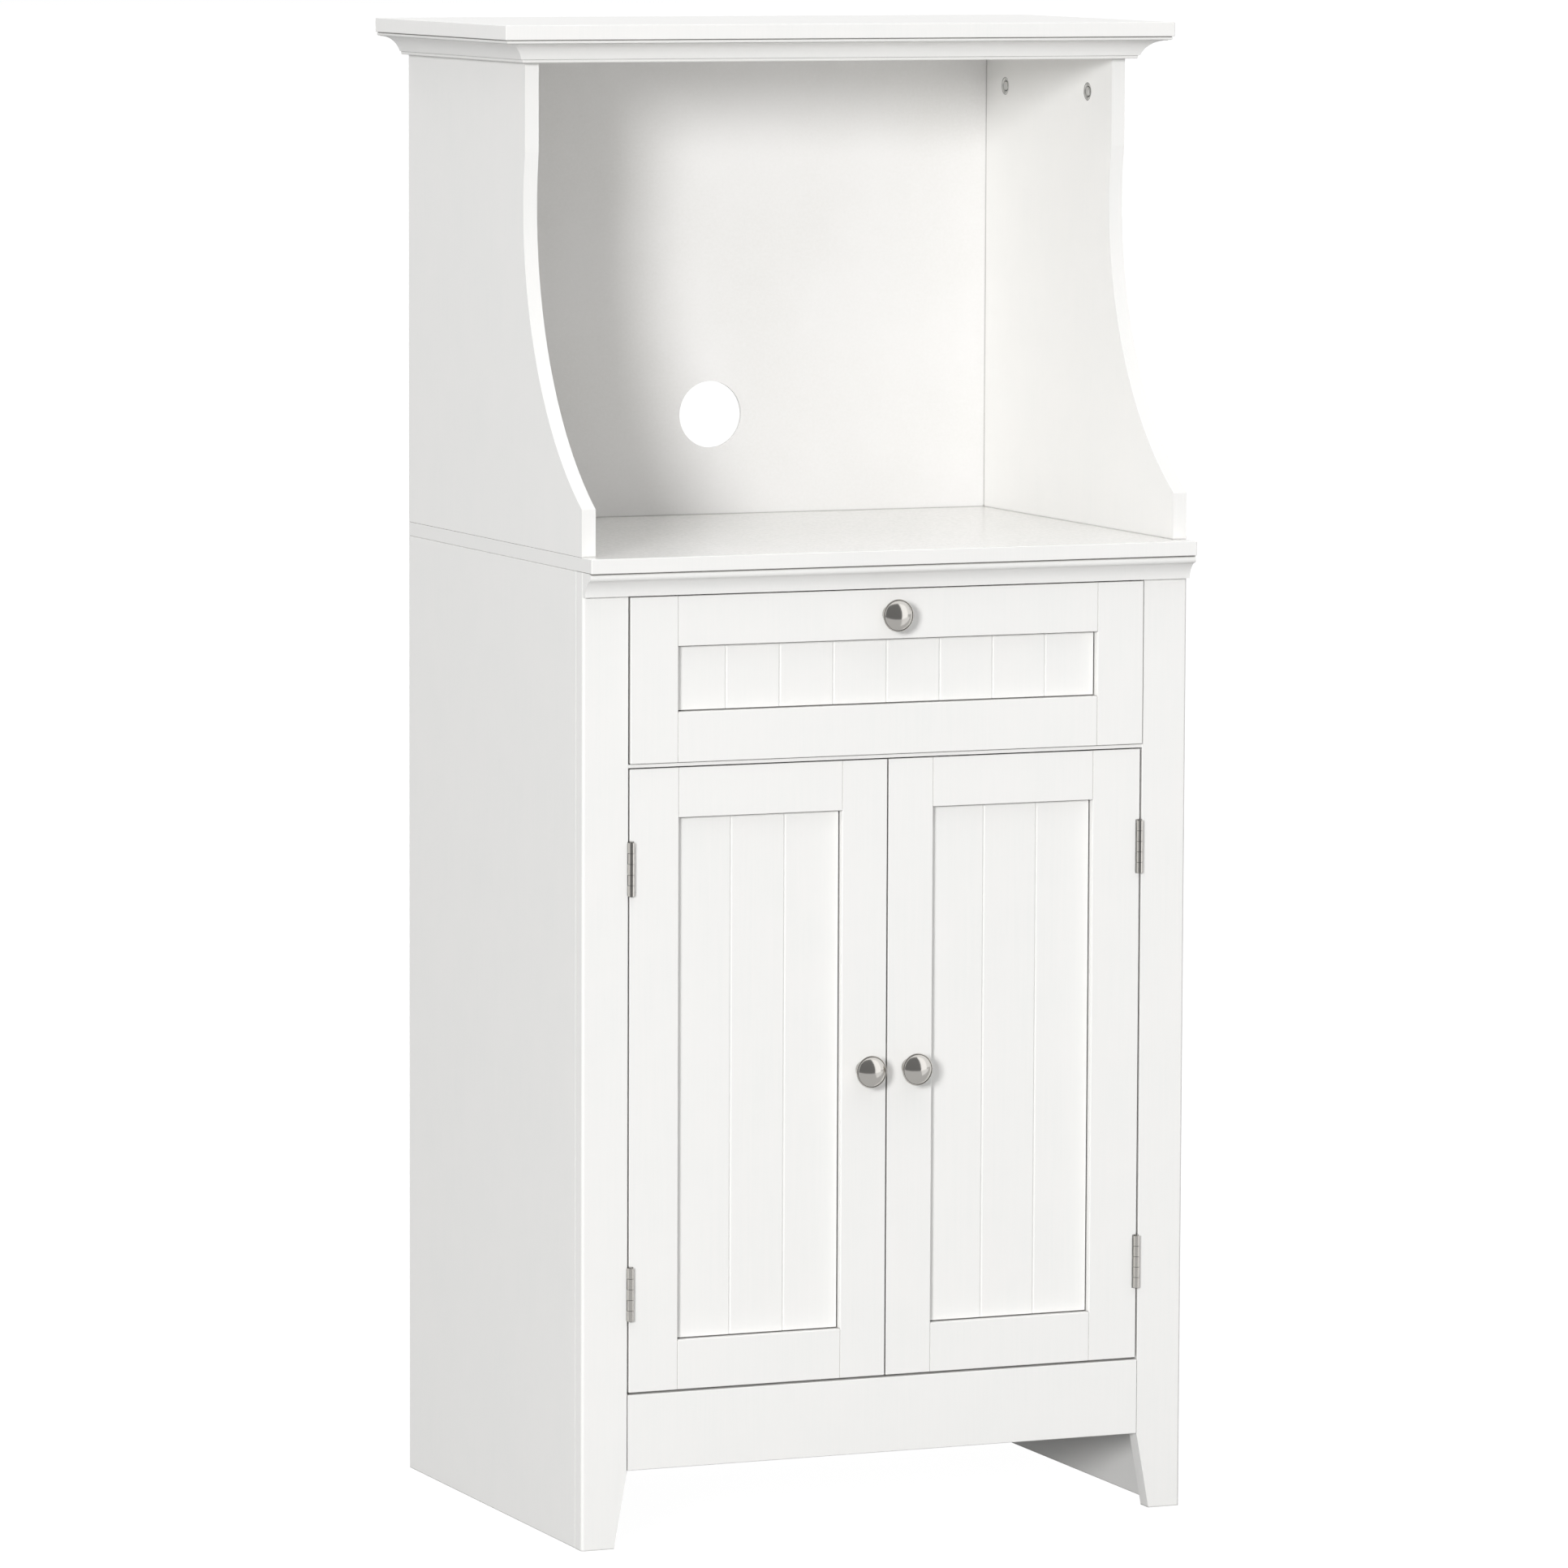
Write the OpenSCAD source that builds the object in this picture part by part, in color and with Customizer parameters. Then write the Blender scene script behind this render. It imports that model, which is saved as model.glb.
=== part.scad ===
// Free-standing microwave cabinet: an open hutch with a cable hole, on a base with
// one drawer and two inset doors. All boards are painted MDF.
//
// Millimetres. X runs across the cabinet, Z is up, and the front faces -Y.
// Every piece is drawn with y = 0 at the front face of the legs; placed() then
// moves it so that the origin is under the middle of the whole object.
// Paired pieces are drawn on the right (+X) and mirrored for the left.

/* [Body] */
// Width over the side panels
body_w = 540; // [520:1:600]
// Depth from the front face of the legs to the back edges of the side panels
body_d = 400; // [380:1:440]
// Height of the whole cabinet
total_h = 1240; // [1220:1:1300]
// Height of the top face of the worktop
worktop_top = 814; // [808:1:820]
// Thickness of the side panels, worktop, shelf and crown board
board_t = 12; // [10:1:12]
// Thickness of the legs, kick rail and front frames
frame_t = 15; // [15:1:18]
// Thickness of the hardboard backs and the drawer bottom
back_t = 3; // [2.5:0.5:4]
// Width of the small bevel along the painted edges
ease = 0.5; // [0.3:0.1:0.8]

/* [Base] */
// Width of each front leg
leg_w = 40; // [36:1:44]
// Width of each leg at the floor, below its taper
foot_w = 28.5; // [24:0.5:34]
// Radius of the outer front edge of each leg
leg_round = 2.5; // [1:0.5:4]
// Height of the lower edge of the kick rail
kick_bottom = 64; // [50:1:80]
// Height of the upper edge of the kick rail
kick_top = 126.5; // [110:0.5:127]
// How far the worktop overhangs the legs at the front
worktop_overhang = 19; // [14:1:24]
// Height of the underside of the adjustable shelf
shelf_z = 360; // [280:5:440]

/* [Hutch] */
// Distance from the front of the legs to the upright front edge of the hutch
hutch_front = 129.5; // [115:0.5:150]
// Setback of the hutch foot behind the front of the legs
hutch_foot_front = 2.5; // [0:0.5:6]
// Height of the hutch foot above the worktop, below the curve
hutch_foot_h = 38.5; // [25:0.5:50]
// Height of the top of the curve above the worktop
hutch_curve_h = 231; // [200:1:260]
// Radius of the concave curve of the hutch sides
hutch_curve_r = 282; // [240:1:360]
// Distance from the back edges to the back face of the back panels
back_inset = 12; // [8:1:20]
// Diameter of the cable hole
cable_hole_d = 57; // [40:1:65]
// Height of the centre of the cable hole above the worktop
cable_hole_h = 86; // [60:1:150]
// Overhang of the crown board at each side
crown_side = 30; // [29:1:40]
// Overhang of the crown board in front of the hutch
crown_front = 34.5; // [34:0.5:45]

/* [Fronts] */
// Lower edge of the doors
door_bottom = 128.5; // [128:0.5:132]
// Upper edge of the doors
door_top = 640.8; // [630:0.1:641]
// Lower edge of the drawer front
drawer_bottom_z = 645.2; // [645:0.1:650]
// Upper edge of the drawer front
drawer_top = 781; // [770:0.5:781]
// Setback of the doors behind the front of the legs
door_setback = 0.5; // [0:0.1:1]
// How far the drawer front stands in front of the legs
drawer_proud = 2.5; // [0:0.5:4]
// Gap between a door and its leg
door_gap = 1.5; // [1.5:0.1:2.5]
// Gap between the drawer front and each leg
drawer_gap = 1; // [0.8:0.1:2]
// Gap between the two doors
meeting_gap = 1.2; // [1:0.1:3]
// Width of the stile that carries the hinges
hinge_stile_w = 43; // [38:0.5:50]
// Width of the stile at the middle, which carries the knob
meeting_stile_w = 40; // [36:0.5:46]
// Width of the stiles of the drawer front
drawer_stile_w = 41.5; // [38:0.5:50]
// Height of the rails of the doors and of the drawer front
rail_h = 41; // [36:0.5:48]
// Depth of the door panels below their frames
door_panel_recess = 6.5; // [5:0.5:7]
// Depth of the drawer panel below its frame
drawer_panel_recess = 7; // [5:0.5:7]
// Thickness of the grooved panels
panel_t = 6; // [5:0.5:6]
// Distance between the grooves of the panels
groove_pitch = 47.6; // [40:0.1:55]
// Width of each V groove
groove_w = 2.4; // [1:0.1:4]
// Diameter of the knobs
knob_d = 27; // [22:1:32]
// How far a knob stands out from its front
knob_reach = 22; // [21:0.5:26]

/* [Hinges] */
// Height of each hinge
hinge_h = 44; // [36:1:60]
// Distance from the end of a door to the near end of its hinge
hinge_edge = 59.5; // [40:0.5:100]
// Outer radius of the knuckles
knuckle_r = 2.7; // [2.4:0.1:2.8]
// Radius of the hinge pins
hinge_pin_r = 1.2; // [1:0.1:1.4]

/* [Drawer box] */
// Length of the sides of the drawer box
box_len = 340; // [300:5:350]
// Height of the sides of the drawer box
box_h = 90; // [70:5:110]

/* [Hidden] */
$fn = 64;

LEFT = -1;
RIGHT = 1;
CUT = 1;                                   // how far a cutter runs past the face that it cuts

half_w = body_w / 2;
side_in = half_w - board_t;                // inner faces of the side panels
leg_in = half_w - leg_w;                   // inner faces of the legs
worktop_bottom = worktop_top - board_t;
crown_bottom = total_h - board_t;          // underside of the crown board
hutch_top_z = crown_bottom - board_t;      // underside of the panel under the crown board
back_y = body_d - back_inset - back_t;     // front face of the back panels
groove_d = 5;                              // depth of the grooves that hold the backs
frame_groove = 6;                          // depth of the grooves that hold the panels

crown_mould_h = 19;
crown_mould_y = hutch_front - crown_front + crown_side;   // plane behind the front crown moulding
worktop_mould_h = 20;

bottom_z = kick_top - board_t;             // underside of the bottom panel
divider_y = frame_t + 1.5;                 // front of the divider, behind the doors
divider_depth = 60;
nose_h = 2.8;                              // strip of the divider seen between the fronts
nose_z = door_top + 1;
divider_z = nose_z + nose_h / 2 - board_t / 2;

door_x1 = leg_in - door_gap;               // hinge edge of the right door
door_x0 = meeting_gap / 2;                 // free edge of the right door
door_y = door_setback;
drawer_x1 = leg_in - drawer_gap;
drawer_y = -drawer_proud;
drawer_back_y = drawer_y + frame_t;        // back face of the drawer front
door_knob_x = meeting_gap / 2 + meeting_stile_w / 2;
door_knob_z = (door_bottom + door_top) / 2;
drawer_knob_z = drawer_top - rail_h / 2;

// Hinges: the pin stands just in front of the legs, and the leaf on the leg runs
// straight back from the outer side of its knuckles
leaf_t = 1.2;
hinge_x = leg_in + leaf_t / 2 - knuckle_r;
hinge_y = -1.6;
leaf_depth = 14.3;                         // how far the leaves reach behind y = 0
leaf_y = 1.8;                              // front edge of the plain part of a leaf
knuckles = 5;
knuckle_gap = 0.3;
knuckle_len = hinge_h / knuckles;
hinge_zs = [door_bottom + hinge_edge, door_top - hinge_edge - hinge_h];
pin_overlength = 0.5;

// Drawer box and its runners
box_z = 660;
box_side_x = leg_in - 12.5;                // outer faces of the drawer box
box_bottom_z = box_z + 8;
runner_z = 715;                            // middle of the runners
channel_h = 27;
channel_depth = 9.5;
channel_t = 1.2;
channel_lip = 5.2;
channel_len = 320;
channel_y = frame_t + 1;
runner_play = 0.4;
cleat_h = 40;
cleat_len = 360;

// Fittings
shelf_front = 45;
shelf_pin_r = 2.5;
shelf_pin_len = 16;
shelf_pin_ys = [75, 335];
shelf_hole_step = 64;
cam_r = 7.5;
cam_depth = 9;
cam_drop = 36;                             // from the top edge of the side to the cam
cam_ys = [hutch_front + 48.5, hutch_front + 216.5];
catch_w = 40;
catch_h = 12;
catch_depth = 15;
strike_t = 1;
strike_gap = 0.5;
screw_r = 1.95;
screw_head_r = 4;
screw_head_h = 2.4;
knob_thread = 9;                           // depth of the threaded hole in a knob

// The origin is half way between the tip of the drawer knob and the back
front_reach = drawer_proud + knob_reach;
origin_y = (front_reach - body_d) / 2;

PAINT = "#F4F4F1";
BACKS = "#EEEDE9";
NICKEL = "#B9B7B2";
STEEL = "#9EA1A3";

// ---------------------------------------------------------------- helpers

module placed() translate([0, origin_y, 0]) children();

module on_side(side) mirror([side < 0 ? 1 : 0, 0, 0]) children();

// A 2D shape with coordinates (y, z), extruded from x0 to x1
module along_x(x0, x1) translate([x0, 0, 0]) rotate([90, 0, 90]) linear_extrude(x1 - x0) children();

// A 2D shape with coordinates (x, z), extruded from y0 to y1
module along_y(y0, y1) translate([0, y1, 0]) rotate([90, 0, 0]) linear_extrude(y1 - y0) children();

// A 2D shape with coordinates (x, y), extruded from z0 to z1
module along_z(z0, z1) translate([0, 0, z0]) linear_extrude(z1 - z0) children();

// A rectangle from corner a to corner b with bevelled corners
module eased_rect(a, b, e = ease) {
    polygon([
        [a[0] + e, a[1]], [b[0] - e, a[1]], [b[0], a[1] + e], [b[0], b[1] - e],
        [b[0] - e, b[1]], [a[0] + e, b[1]], [a[0], b[1] - e], [a[0], a[1] + e]
    ]);
}

// A plain box from corner a to corner b
module block(a, b) translate(a) cube(b - a);

// A board from corner a to corner b with all its edges bevelled
module board(a, b, e = ease) {
    intersection() {
        along_x(a[0], b[0]) eased_rect([a[1], a[2]], [b[1], b[2]], e);
        along_y(a[1], b[1]) eased_rect([a[0], a[2]], [b[0], b[2]], e);
        along_z(a[2], b[2]) eased_rect([a[0], a[1]], [b[0], b[1]], e);
    }
}

// Cylinders along X and Y between two coordinates
module rod_x(x0, x1, y, z, r) translate([x0, y, z]) rotate([0, 90, 0]) cylinder(h = x1 - x0, r = r);
module rod_y(y0, y1, x, z, r) translate([x, y1, z]) rotate([90, 0, 0]) cylinder(h = y1 - y0, r = r);

// Centre of the circle of radius r through p and q, on the left of the way from p to q
function arc_centre(p, q, r) =
    let (d = q - p, c = norm(d))
    (p + q) / 2 + sqrt(r * r - c * c / 4) * [-d[1], d[0]] / c;

// ---------------------------------------------------------------- base

// Side panel with the groove for the back and three rows of holes for the shelf pins
module base_side(side) {
    color(PAINT) on_side(side) difference() {
        board([side_in, frame_t, 0], [half_w, body_d, worktop_bottom]);
        block([side_in - CUT, back_y, bottom_z], [side_in + groove_d, back_y + back_t, worktop_bottom + CUT]);
        for (y = shelf_pin_ys, row = [-1:1])
            rod_x(side_in - CUT, side_in + shelf_pin_len / 2, y,
                  shelf_z - shelf_pin_r + row * shelf_hole_step, shelf_pin_r);
    }
}

// Plan of a leg: the outer front edge is rounded, and the inner one eased like the boards
module leg_plan() {
    translate([half_w - leg_round, leg_round]) circle(r = leg_round);
    polygon([
        [leg_in + ease, 0], [half_w - leg_round, 0], [half_w - leg_round, leg_round],
        [half_w, leg_round], [half_w, frame_t - ease], [half_w - ease, frame_t],
        [leg_in, frame_t], [leg_in, ease]
    ]);
}

// Front leg with a tapered foot and a shallow recess for each hinge leaf
module leg(side) {
    taper = leg_w - foot_w;
    color(PAINT) on_side(side) difference() {
        along_z(0, worktop_bottom) leg_plan();
        along_y(-CUT, frame_t + CUT) polygon([
            [leg_in - CUT, kick_bottom], [leg_in, kick_bottom], [leg_in + taper, 0],
            [leg_in + taper, -CUT], [leg_in - CUT, -CUT]
        ]);
        for (z = hinge_zs)
            block([leg_in - CUT, -CUT, z], [leg_in + leaf_t / 2, leaf_depth, z + hinge_h]);
    }
}

// Rail between the legs, with a narrow shadow line at each end
module kick_rail() {
    line_w = 0.4;
    line_d = 2;
    color(PAINT) difference() {
        board([-leg_in, 0, kick_bottom], [leg_in, frame_t, kick_top]);
        for (side = [LEFT, RIGHT]) on_side(side)
            block([leg_in - line_w, -CUT, kick_bottom - CUT], [leg_in + CUT, line_d, kick_top + CUT]);
    }
}

module base_bottom() {
    color(PAINT) block([-side_in, frame_t, bottom_z], [side_in, back_y, kick_top]);
}

// Rail between the drawer and the doors: its thin nose shows between the fronts
module divider_rail() {
    color(PAINT) {
        block([-side_in, divider_y, divider_z], [side_in, divider_y + divider_depth, divider_z + board_t]);
        block([-leg_in, door_setback, nose_z], [leg_in, divider_y, nose_z + nose_h]);
    }
}

module worktop() {
    color(PAINT) board([-half_w, -worktop_overhang, worktop_bottom], [half_w, body_d, worktop_top]);
}

// Profile of the moulding under the worktop. The first coordinate is the distance in
// front of the legs, and the second the height below the worktop, which is negative.
module worktop_profile() {
    bead_r = 3.25;
    bead_out = worktop_overhang - 2;
    cove_top = [bead_out - 4, -2 * bead_r];
    cove_foot = [5, -worktop_mould_h];
    cove_r = 16;
    lap = 0.4;                             // past the top of the cove, inside the bead
    difference() {
        translate([0, cove_foot[1]]) square([cove_top[0] + lap, -cove_foot[1] - bead_r]);
        translate(arc_centre(cove_top, cove_foot, cove_r)) circle(r = cove_r);
    }
    translate([0, -2 * bead_r]) square([bead_out - bead_r, 2 * bead_r]);
    translate([bead_out - bead_r, -bead_r]) circle(r = bead_r);
}

// Front moulding with a bead above a cove. Its ends are flush with the side panels.
module worktop_moulding() {
    color(PAINT) translate([-half_w, 0, worktop_bottom])
        rotate([90, 0, 90]) mirror([1, 0, 0]) linear_extrude(body_w) worktop_profile();
}

module base_back() {
    color(BACKS) block([-side_in - groove_d, back_y, bottom_z], [side_in + groove_d, back_y + back_t, worktop_bottom]);
}

module shelf() {
    color(PAINT) board([-side_in + 1.5, shelf_front, shelf_z], [side_in - 1.5, back_y - 2, shelf_z + board_t]);
}

module shelf_pins() {
    color(NICKEL) for (side = [LEFT, RIGHT], y = shelf_pin_ys) on_side(side)
        rod_x(side_in - shelf_pin_len / 2, side_in + shelf_pin_len / 2, y, shelf_z - shelf_pin_r, shelf_pin_r);
}

// ---------------------------------------------------------------- hutch

// Side panel: an upright front edge that sweeps forward to a short foot
module hutch_side(side) {
    foot = [hutch_foot_front, worktop_top + hutch_foot_h];
    shoulder = [hutch_front, worktop_top + hutch_curve_h];
    centre = arc_centre(foot, shoulder, hutch_curve_r);
    color(PAINT) on_side(side) difference() {
        along_x(side_in, half_w) polygon([
            [hutch_foot_front, worktop_top], foot, shoulder, [hutch_front, hutch_top_z],
            [body_d, hutch_top_z], [body_d, worktop_top]
        ]);
        translate([side_in - CUT, centre[0], centre[1]]) rotate([0, 90, 0])
            cylinder(h = board_t + 2 * CUT, r = hutch_curve_r, $fn = 180);
        block([side_in - CUT, back_y, worktop_top - CUT],
              [side_in + groove_d, back_y + back_t, hutch_top_z + CUT]);
        for (y = cam_ys)
            rod_x(side_in - CUT, side_in + cam_depth, y, hutch_top_z - cam_drop, cam_r + 0.1);
    }
}

// Back panel with the round hole for the cable
module hutch_back() {
    color(BACKS) difference() {
        block([-side_in - groove_d, back_y, worktop_top], [side_in + groove_d, back_y + back_t, hutch_top_z]);
        rod_y(back_y - CUT, back_y + back_t + CUT, 0, worktop_top + cable_hole_h, cable_hole_d / 2);
    }
}

module hutch_top() {
    color(PAINT) block([-half_w, crown_mould_y, hutch_top_z], [half_w, body_d, crown_bottom]);
}

// Cam discs that draw the hutch sides up to the panel above them
module cam_locks() {
    slot = 1.6;
    slot_len = 9;
    slot_d = 2.5;
    color(STEEL) for (side = [LEFT, RIGHT], y = cam_ys) on_side(side)
        translate([side_in, y, hutch_top_z - cam_drop]) difference() {
            rod_x(0, cam_depth - 0.5, 0, 0, cam_r);
            for (turn = [0, 90]) rotate([turn + 20, 0, 0])
                block([-CUT, -slot_len / 2, -slot / 2], [slot_d, slot_len / 2, slot / 2]);
        }
}

module crown_board() {
    color(PAINT) board([-half_w - crown_side, hutch_front - crown_front, crown_bottom],
                       [half_w + crown_side, body_d, total_h]);
}

// Profile of the crown moulding, in the same terms: a bead, a cove and a square lip
module crown_profile() {
    bead_r = 1.5;
    bead_out = crown_side - 1.5;
    cove_top = [crown_side - 4.5, -3.4];
    cove_foot = [8.2, -16.2];
    cove_r = 18;
    lip_out = 6.8;
    lip_ease = 0.8;
    difference() {
        polygon([
            [0, -crown_mould_h], [lip_out - lip_ease, -crown_mould_h],
            [lip_out, lip_ease - crown_mould_h], [lip_out, cove_foot[1]],
            [cove_top[0], cove_foot[1]], [cove_top[0], -bead_r], [0, -bead_r]
        ]);
        translate(arc_centre(cove_top, cove_foot, cove_r)) circle(r = cove_r, $fn = 96);
    }
    translate([0, -2 * bead_r]) square([bead_out - bead_r, 2 * bead_r]);
    translate([bead_out - bead_r, -bead_r]) circle(r = bead_r);
}

crown_out = crown_side + 4;                // past the bead, for the plans of the mitres

// Front run, mitred at both ends
module crown_moulding_front() {
    color(PAINT) intersection() {
        translate([-half_w - crown_out, crown_mould_y, crown_bottom]) rotate([90, 0, 90])
            mirror([1, 0, 0]) linear_extrude(body_w + 2 * crown_out) crown_profile();
        along_z(crown_bottom - crown_mould_h - CUT, crown_bottom) polygon([
            [-half_w, crown_mould_y], [-half_w - crown_out, crown_mould_y - crown_out],
            [half_w + crown_out, crown_mould_y - crown_out], [half_w, crown_mould_y]
        ]);
    }
}

// Side run, mitred at the front and square at the back
module crown_moulding_side(side) {
    color(PAINT) on_side(side) intersection() {
        translate([half_w, body_d, crown_bottom]) rotate([90, 0, 0])
            linear_extrude(body_d - crown_mould_y + crown_out) crown_profile();
        along_z(crown_bottom - crown_mould_h - CUT, crown_bottom) polygon([
            [half_w, crown_mould_y], [half_w + crown_out, crown_mould_y - crown_out],
            [half_w + crown_out, body_d], [half_w, body_d]
        ]);
    }
}

// ---------------------------------------------------------------- hinges

// Knuckles of one leaf: every second one, counted from first
module knuckle_row(z, first, bore_r) {
    for (i = [first:2:knuckles - 1])
        translate([hinge_x, hinge_y, z + i * knuckle_len + knuckle_gap / 2]) difference() {
            cylinder(h = knuckle_len - knuckle_gap, r = knuckle_r);
            translate([0, 0, -CUT]) cylinder(h = knuckle_len + 2 * CUT, r = bore_r);
        }
}

// One leaf of a hinge: a plate between x0 and x1 with a tab to each of its knuckles
module hinge_leaf(z, first, bore_r, x0, x1, tab_y) {
    difference() {
        union() {
            block([x0, leaf_y, z], [x1, leaf_depth, z + hinge_h]);
            for (i = [first:2:knuckles - 1]) {
                z0 = z + i * knuckle_len + knuckle_gap / 2;
                block([x0, tab_y, z0], [x1, leaf_y, z0 + knuckle_len - knuckle_gap]);
            }
        }
        translate([hinge_x, hinge_y, z - CUT]) cylinder(h = hinge_h + 2 * CUT, r = bore_r);
    }
    knuckle_row(z, first, bore_r);
}

// Leaves let into the inner face of the leg
module hinge_leaves_frame(side) {
    color(NICKEL) on_side(side) for (z = hinge_zs)
        hinge_leaf(z, 0, hinge_pin_r, leg_in - leaf_t / 2, leg_in + leaf_t / 2, hinge_y);
}

// Leaves let into the edge of the door
module hinge_leaves_door(side) {
    color(NICKEL) on_side(side) for (z = hinge_zs)
        hinge_leaf(z, 1, hinge_pin_r + 0.06, door_x1 - leaf_t, door_x1, 0.2);
}

module hinge_pins() {
    color(NICKEL) for (side = [LEFT, RIGHT], z = hinge_zs) on_side(side)
        translate([hinge_x, hinge_y, z - pin_overlength])
            cylinder(h = hinge_h + 2 * pin_overlength, r = hinge_pin_r);
}

// ---------------------------------------------------------------- frames and panels

// Upright of a frame, from x0 to x1, with its panel groove on the side named by inner
module stile(x0, x1, y, z0, z1, recess, inner) {
    groove_x = inner > 0 ? [x1 - frame_groove, x1 + CUT] : [x0 - CUT, x0 + frame_groove];
    difference() {
        board([x0, y, z0], [x1, y + frame_t, z1]);
        block([groove_x[0], y + recess, z0 - CUT], [groove_x[1], y + recess + panel_t, z1 + CUT]);
    }
}

// Cross piece of a frame between x0 and x1, with a tongue at each end and a panel groove
// along its upper edge, where inner is 1, or its lower edge, where inner is -1
module rail(x0, x1, y, z0, z1, recess, inner) {
    groove_z = inner > 0 ? [z1 - frame_groove, z1 + CUT] : [z0 - CUT, z0 + frame_groove];
    difference() {
        union() {
            board([x0, y, z0], [x1, y + frame_t, z1]);
            block([x0 - frame_groove, y + recess, z0], [x1 + frame_groove, y + recess + panel_t, z1]);
        }
        block([x0 - frame_groove - CUT, y + recess, groove_z[0]],
              [x1 + frame_groove + CUT, y + recess + panel_t, groove_z[1]]);
    }
}

// Panel over the opening plus its tongues, with vertical V grooves at the given places and
// a narrow slot in its face all round the opening, which draws a dark line inside the frame
module grooved_panel(x0, x1, y, z0, z1, groove_xs) {
    reach = frame_groove - 0.5;
    depth = groove_w / 4;
    slot_w = 1;
    slot_d = 2.5;
    difference() {
        block([x0 - reach, y, z0 - reach], [x1 + reach, y + panel_t, z1 + reach]);
        for (x = groove_xs)
            along_z(z0 - reach - CUT, z1 + reach + CUT)
                polygon([[x - groove_w / 2, y], [x, y + depth], [x + groove_w / 2, y],
                         [x + groove_w / 2, y - CUT], [x - groove_w / 2, y - CUT]]);
        difference() {
            block([x0, y - CUT, z0], [x1, y + slot_d, z1]);
            block([x0 + slot_w, y - 2 * CUT, z0 + slot_w], [x1 - slot_w, y + slot_d + CUT, z1 - slot_w]);
        }
    }
}

door_in_x0 = door_x0 + meeting_stile_w;    // opening of a door frame
door_in_x1 = door_x1 - hinge_stile_w;
drawer_in_x = drawer_x1 - drawer_stile_w;

// Stile with a mortise for each hinge leaf and a pocket that its knuckles turn in
module door_hinge_stile(side) {
    pocket_gap = 0.5;
    color(PAINT) on_side(side) difference() {
        stile(door_in_x1, door_x1, door_y, door_bottom, door_top, door_panel_recess, -1);
        for (z = hinge_zs) {
            block([door_x1 - leaf_t, door_y - CUT, z], [door_x1 + CUT, leaf_depth, z + hinge_h]);
            block([hinge_x - knuckle_r - pocket_gap, door_y - CUT, z - pocket_gap],
                  [door_x1 + CUT, hinge_y + knuckle_r + pocket_gap, z + hinge_h + pocket_gap]);
        }
    }
}

module door_meeting_stile(side) {
    color(PAINT) on_side(side) difference() {
        stile(door_x0, door_in_x0, door_y, door_bottom, door_top, door_panel_recess, 1);
        rod_y(door_y - CUT, door_y + frame_t + CUT, door_knob_x, door_knob_z, screw_r + 0.25);
    }
}

module door_top_rail(side) {
    color(PAINT) on_side(side)
        rail(door_in_x0, door_in_x1, door_y, door_top - rail_h, door_top, door_panel_recess, -1);
}

module door_bottom_rail(side) {
    color(PAINT) on_side(side)
        rail(door_in_x0, door_in_x1, door_y, door_bottom, door_bottom + rail_h, door_panel_recess, 1);
}

module door_panel(side) {
    middle = (door_in_x0 + door_in_x1) / 2;
    color(PAINT) on_side(side)
        grooved_panel(door_in_x0, door_in_x1, door_y + door_panel_recess, door_bottom + rail_h,
                      door_top - rail_h, [middle - groove_pitch / 2, middle + groove_pitch / 2]);
}

// ---------------------------------------------------------------- drawer

module drawer_front_stile(side) {
    color(PAINT) on_side(side)
        stile(drawer_in_x, drawer_x1, drawer_y, drawer_bottom_z, drawer_top, drawer_panel_recess, -1);
}

module drawer_front_top_rail() {
    color(PAINT) difference() {
        rail(-drawer_in_x, drawer_in_x, drawer_y, drawer_top - rail_h, drawer_top, drawer_panel_recess, -1);
        rod_y(drawer_y - CUT, drawer_back_y + CUT, 0, drawer_knob_z, screw_r + 0.25);
    }
}

module drawer_front_bottom_rail() {
    color(PAINT)
        rail(-drawer_in_x, drawer_in_x, drawer_y, drawer_bottom_z, drawer_bottom_z + rail_h, drawer_panel_recess, 1);
}

module drawer_front_panel() {
    color(PAINT)
        grooved_panel(-drawer_in_x, drawer_in_x, drawer_y + drawer_panel_recess, drawer_bottom_z + rail_h,
                      drawer_top - rail_h, [for (i = [-3:3]) i * groove_pitch]);
}

// Side of the drawer box with the groove that holds the bottom
module drawer_side(side) {
    color(PAINT) on_side(side) difference() {
        board([box_side_x - board_t, drawer_back_y, box_z], [box_side_x, drawer_back_y + box_len, box_z + box_h]);
        block([box_side_x - board_t - CUT, drawer_back_y - CUT, box_bottom_z],
              [box_side_x - board_t + groove_d, drawer_back_y + box_len - board_t + groove_d, box_bottom_z + back_t]);
    }
}

module drawer_back() {
    inner = box_side_x - board_t;
    back = drawer_back_y + box_len;
    color(PAINT) difference() {
        board([-inner, back - board_t, box_z], [inner, back, box_z + box_h]);
        block([-inner - CUT, back - board_t - CUT, box_bottom_z],
              [inner + CUT, back - board_t + groove_d, box_bottom_z + back_t]);
    }
}

module drawer_bottom() {
    inner = box_side_x - board_t + groove_d - 0.5;
    color(BACKS) block([-inner, drawer_back_y, box_bottom_z],
                       [inner, drawer_back_y + box_len - board_t + groove_d - 0.5, box_bottom_z + back_t]);
}

// Cleat that brings the runner out to the inner face of the leg
module runner_cleat(side) {
    color(PAINT) on_side(side)
        board([leg_in, frame_t, runner_z - cleat_h / 2], [side_in, frame_t + cleat_len, runner_z + cleat_h / 2]);
}

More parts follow.
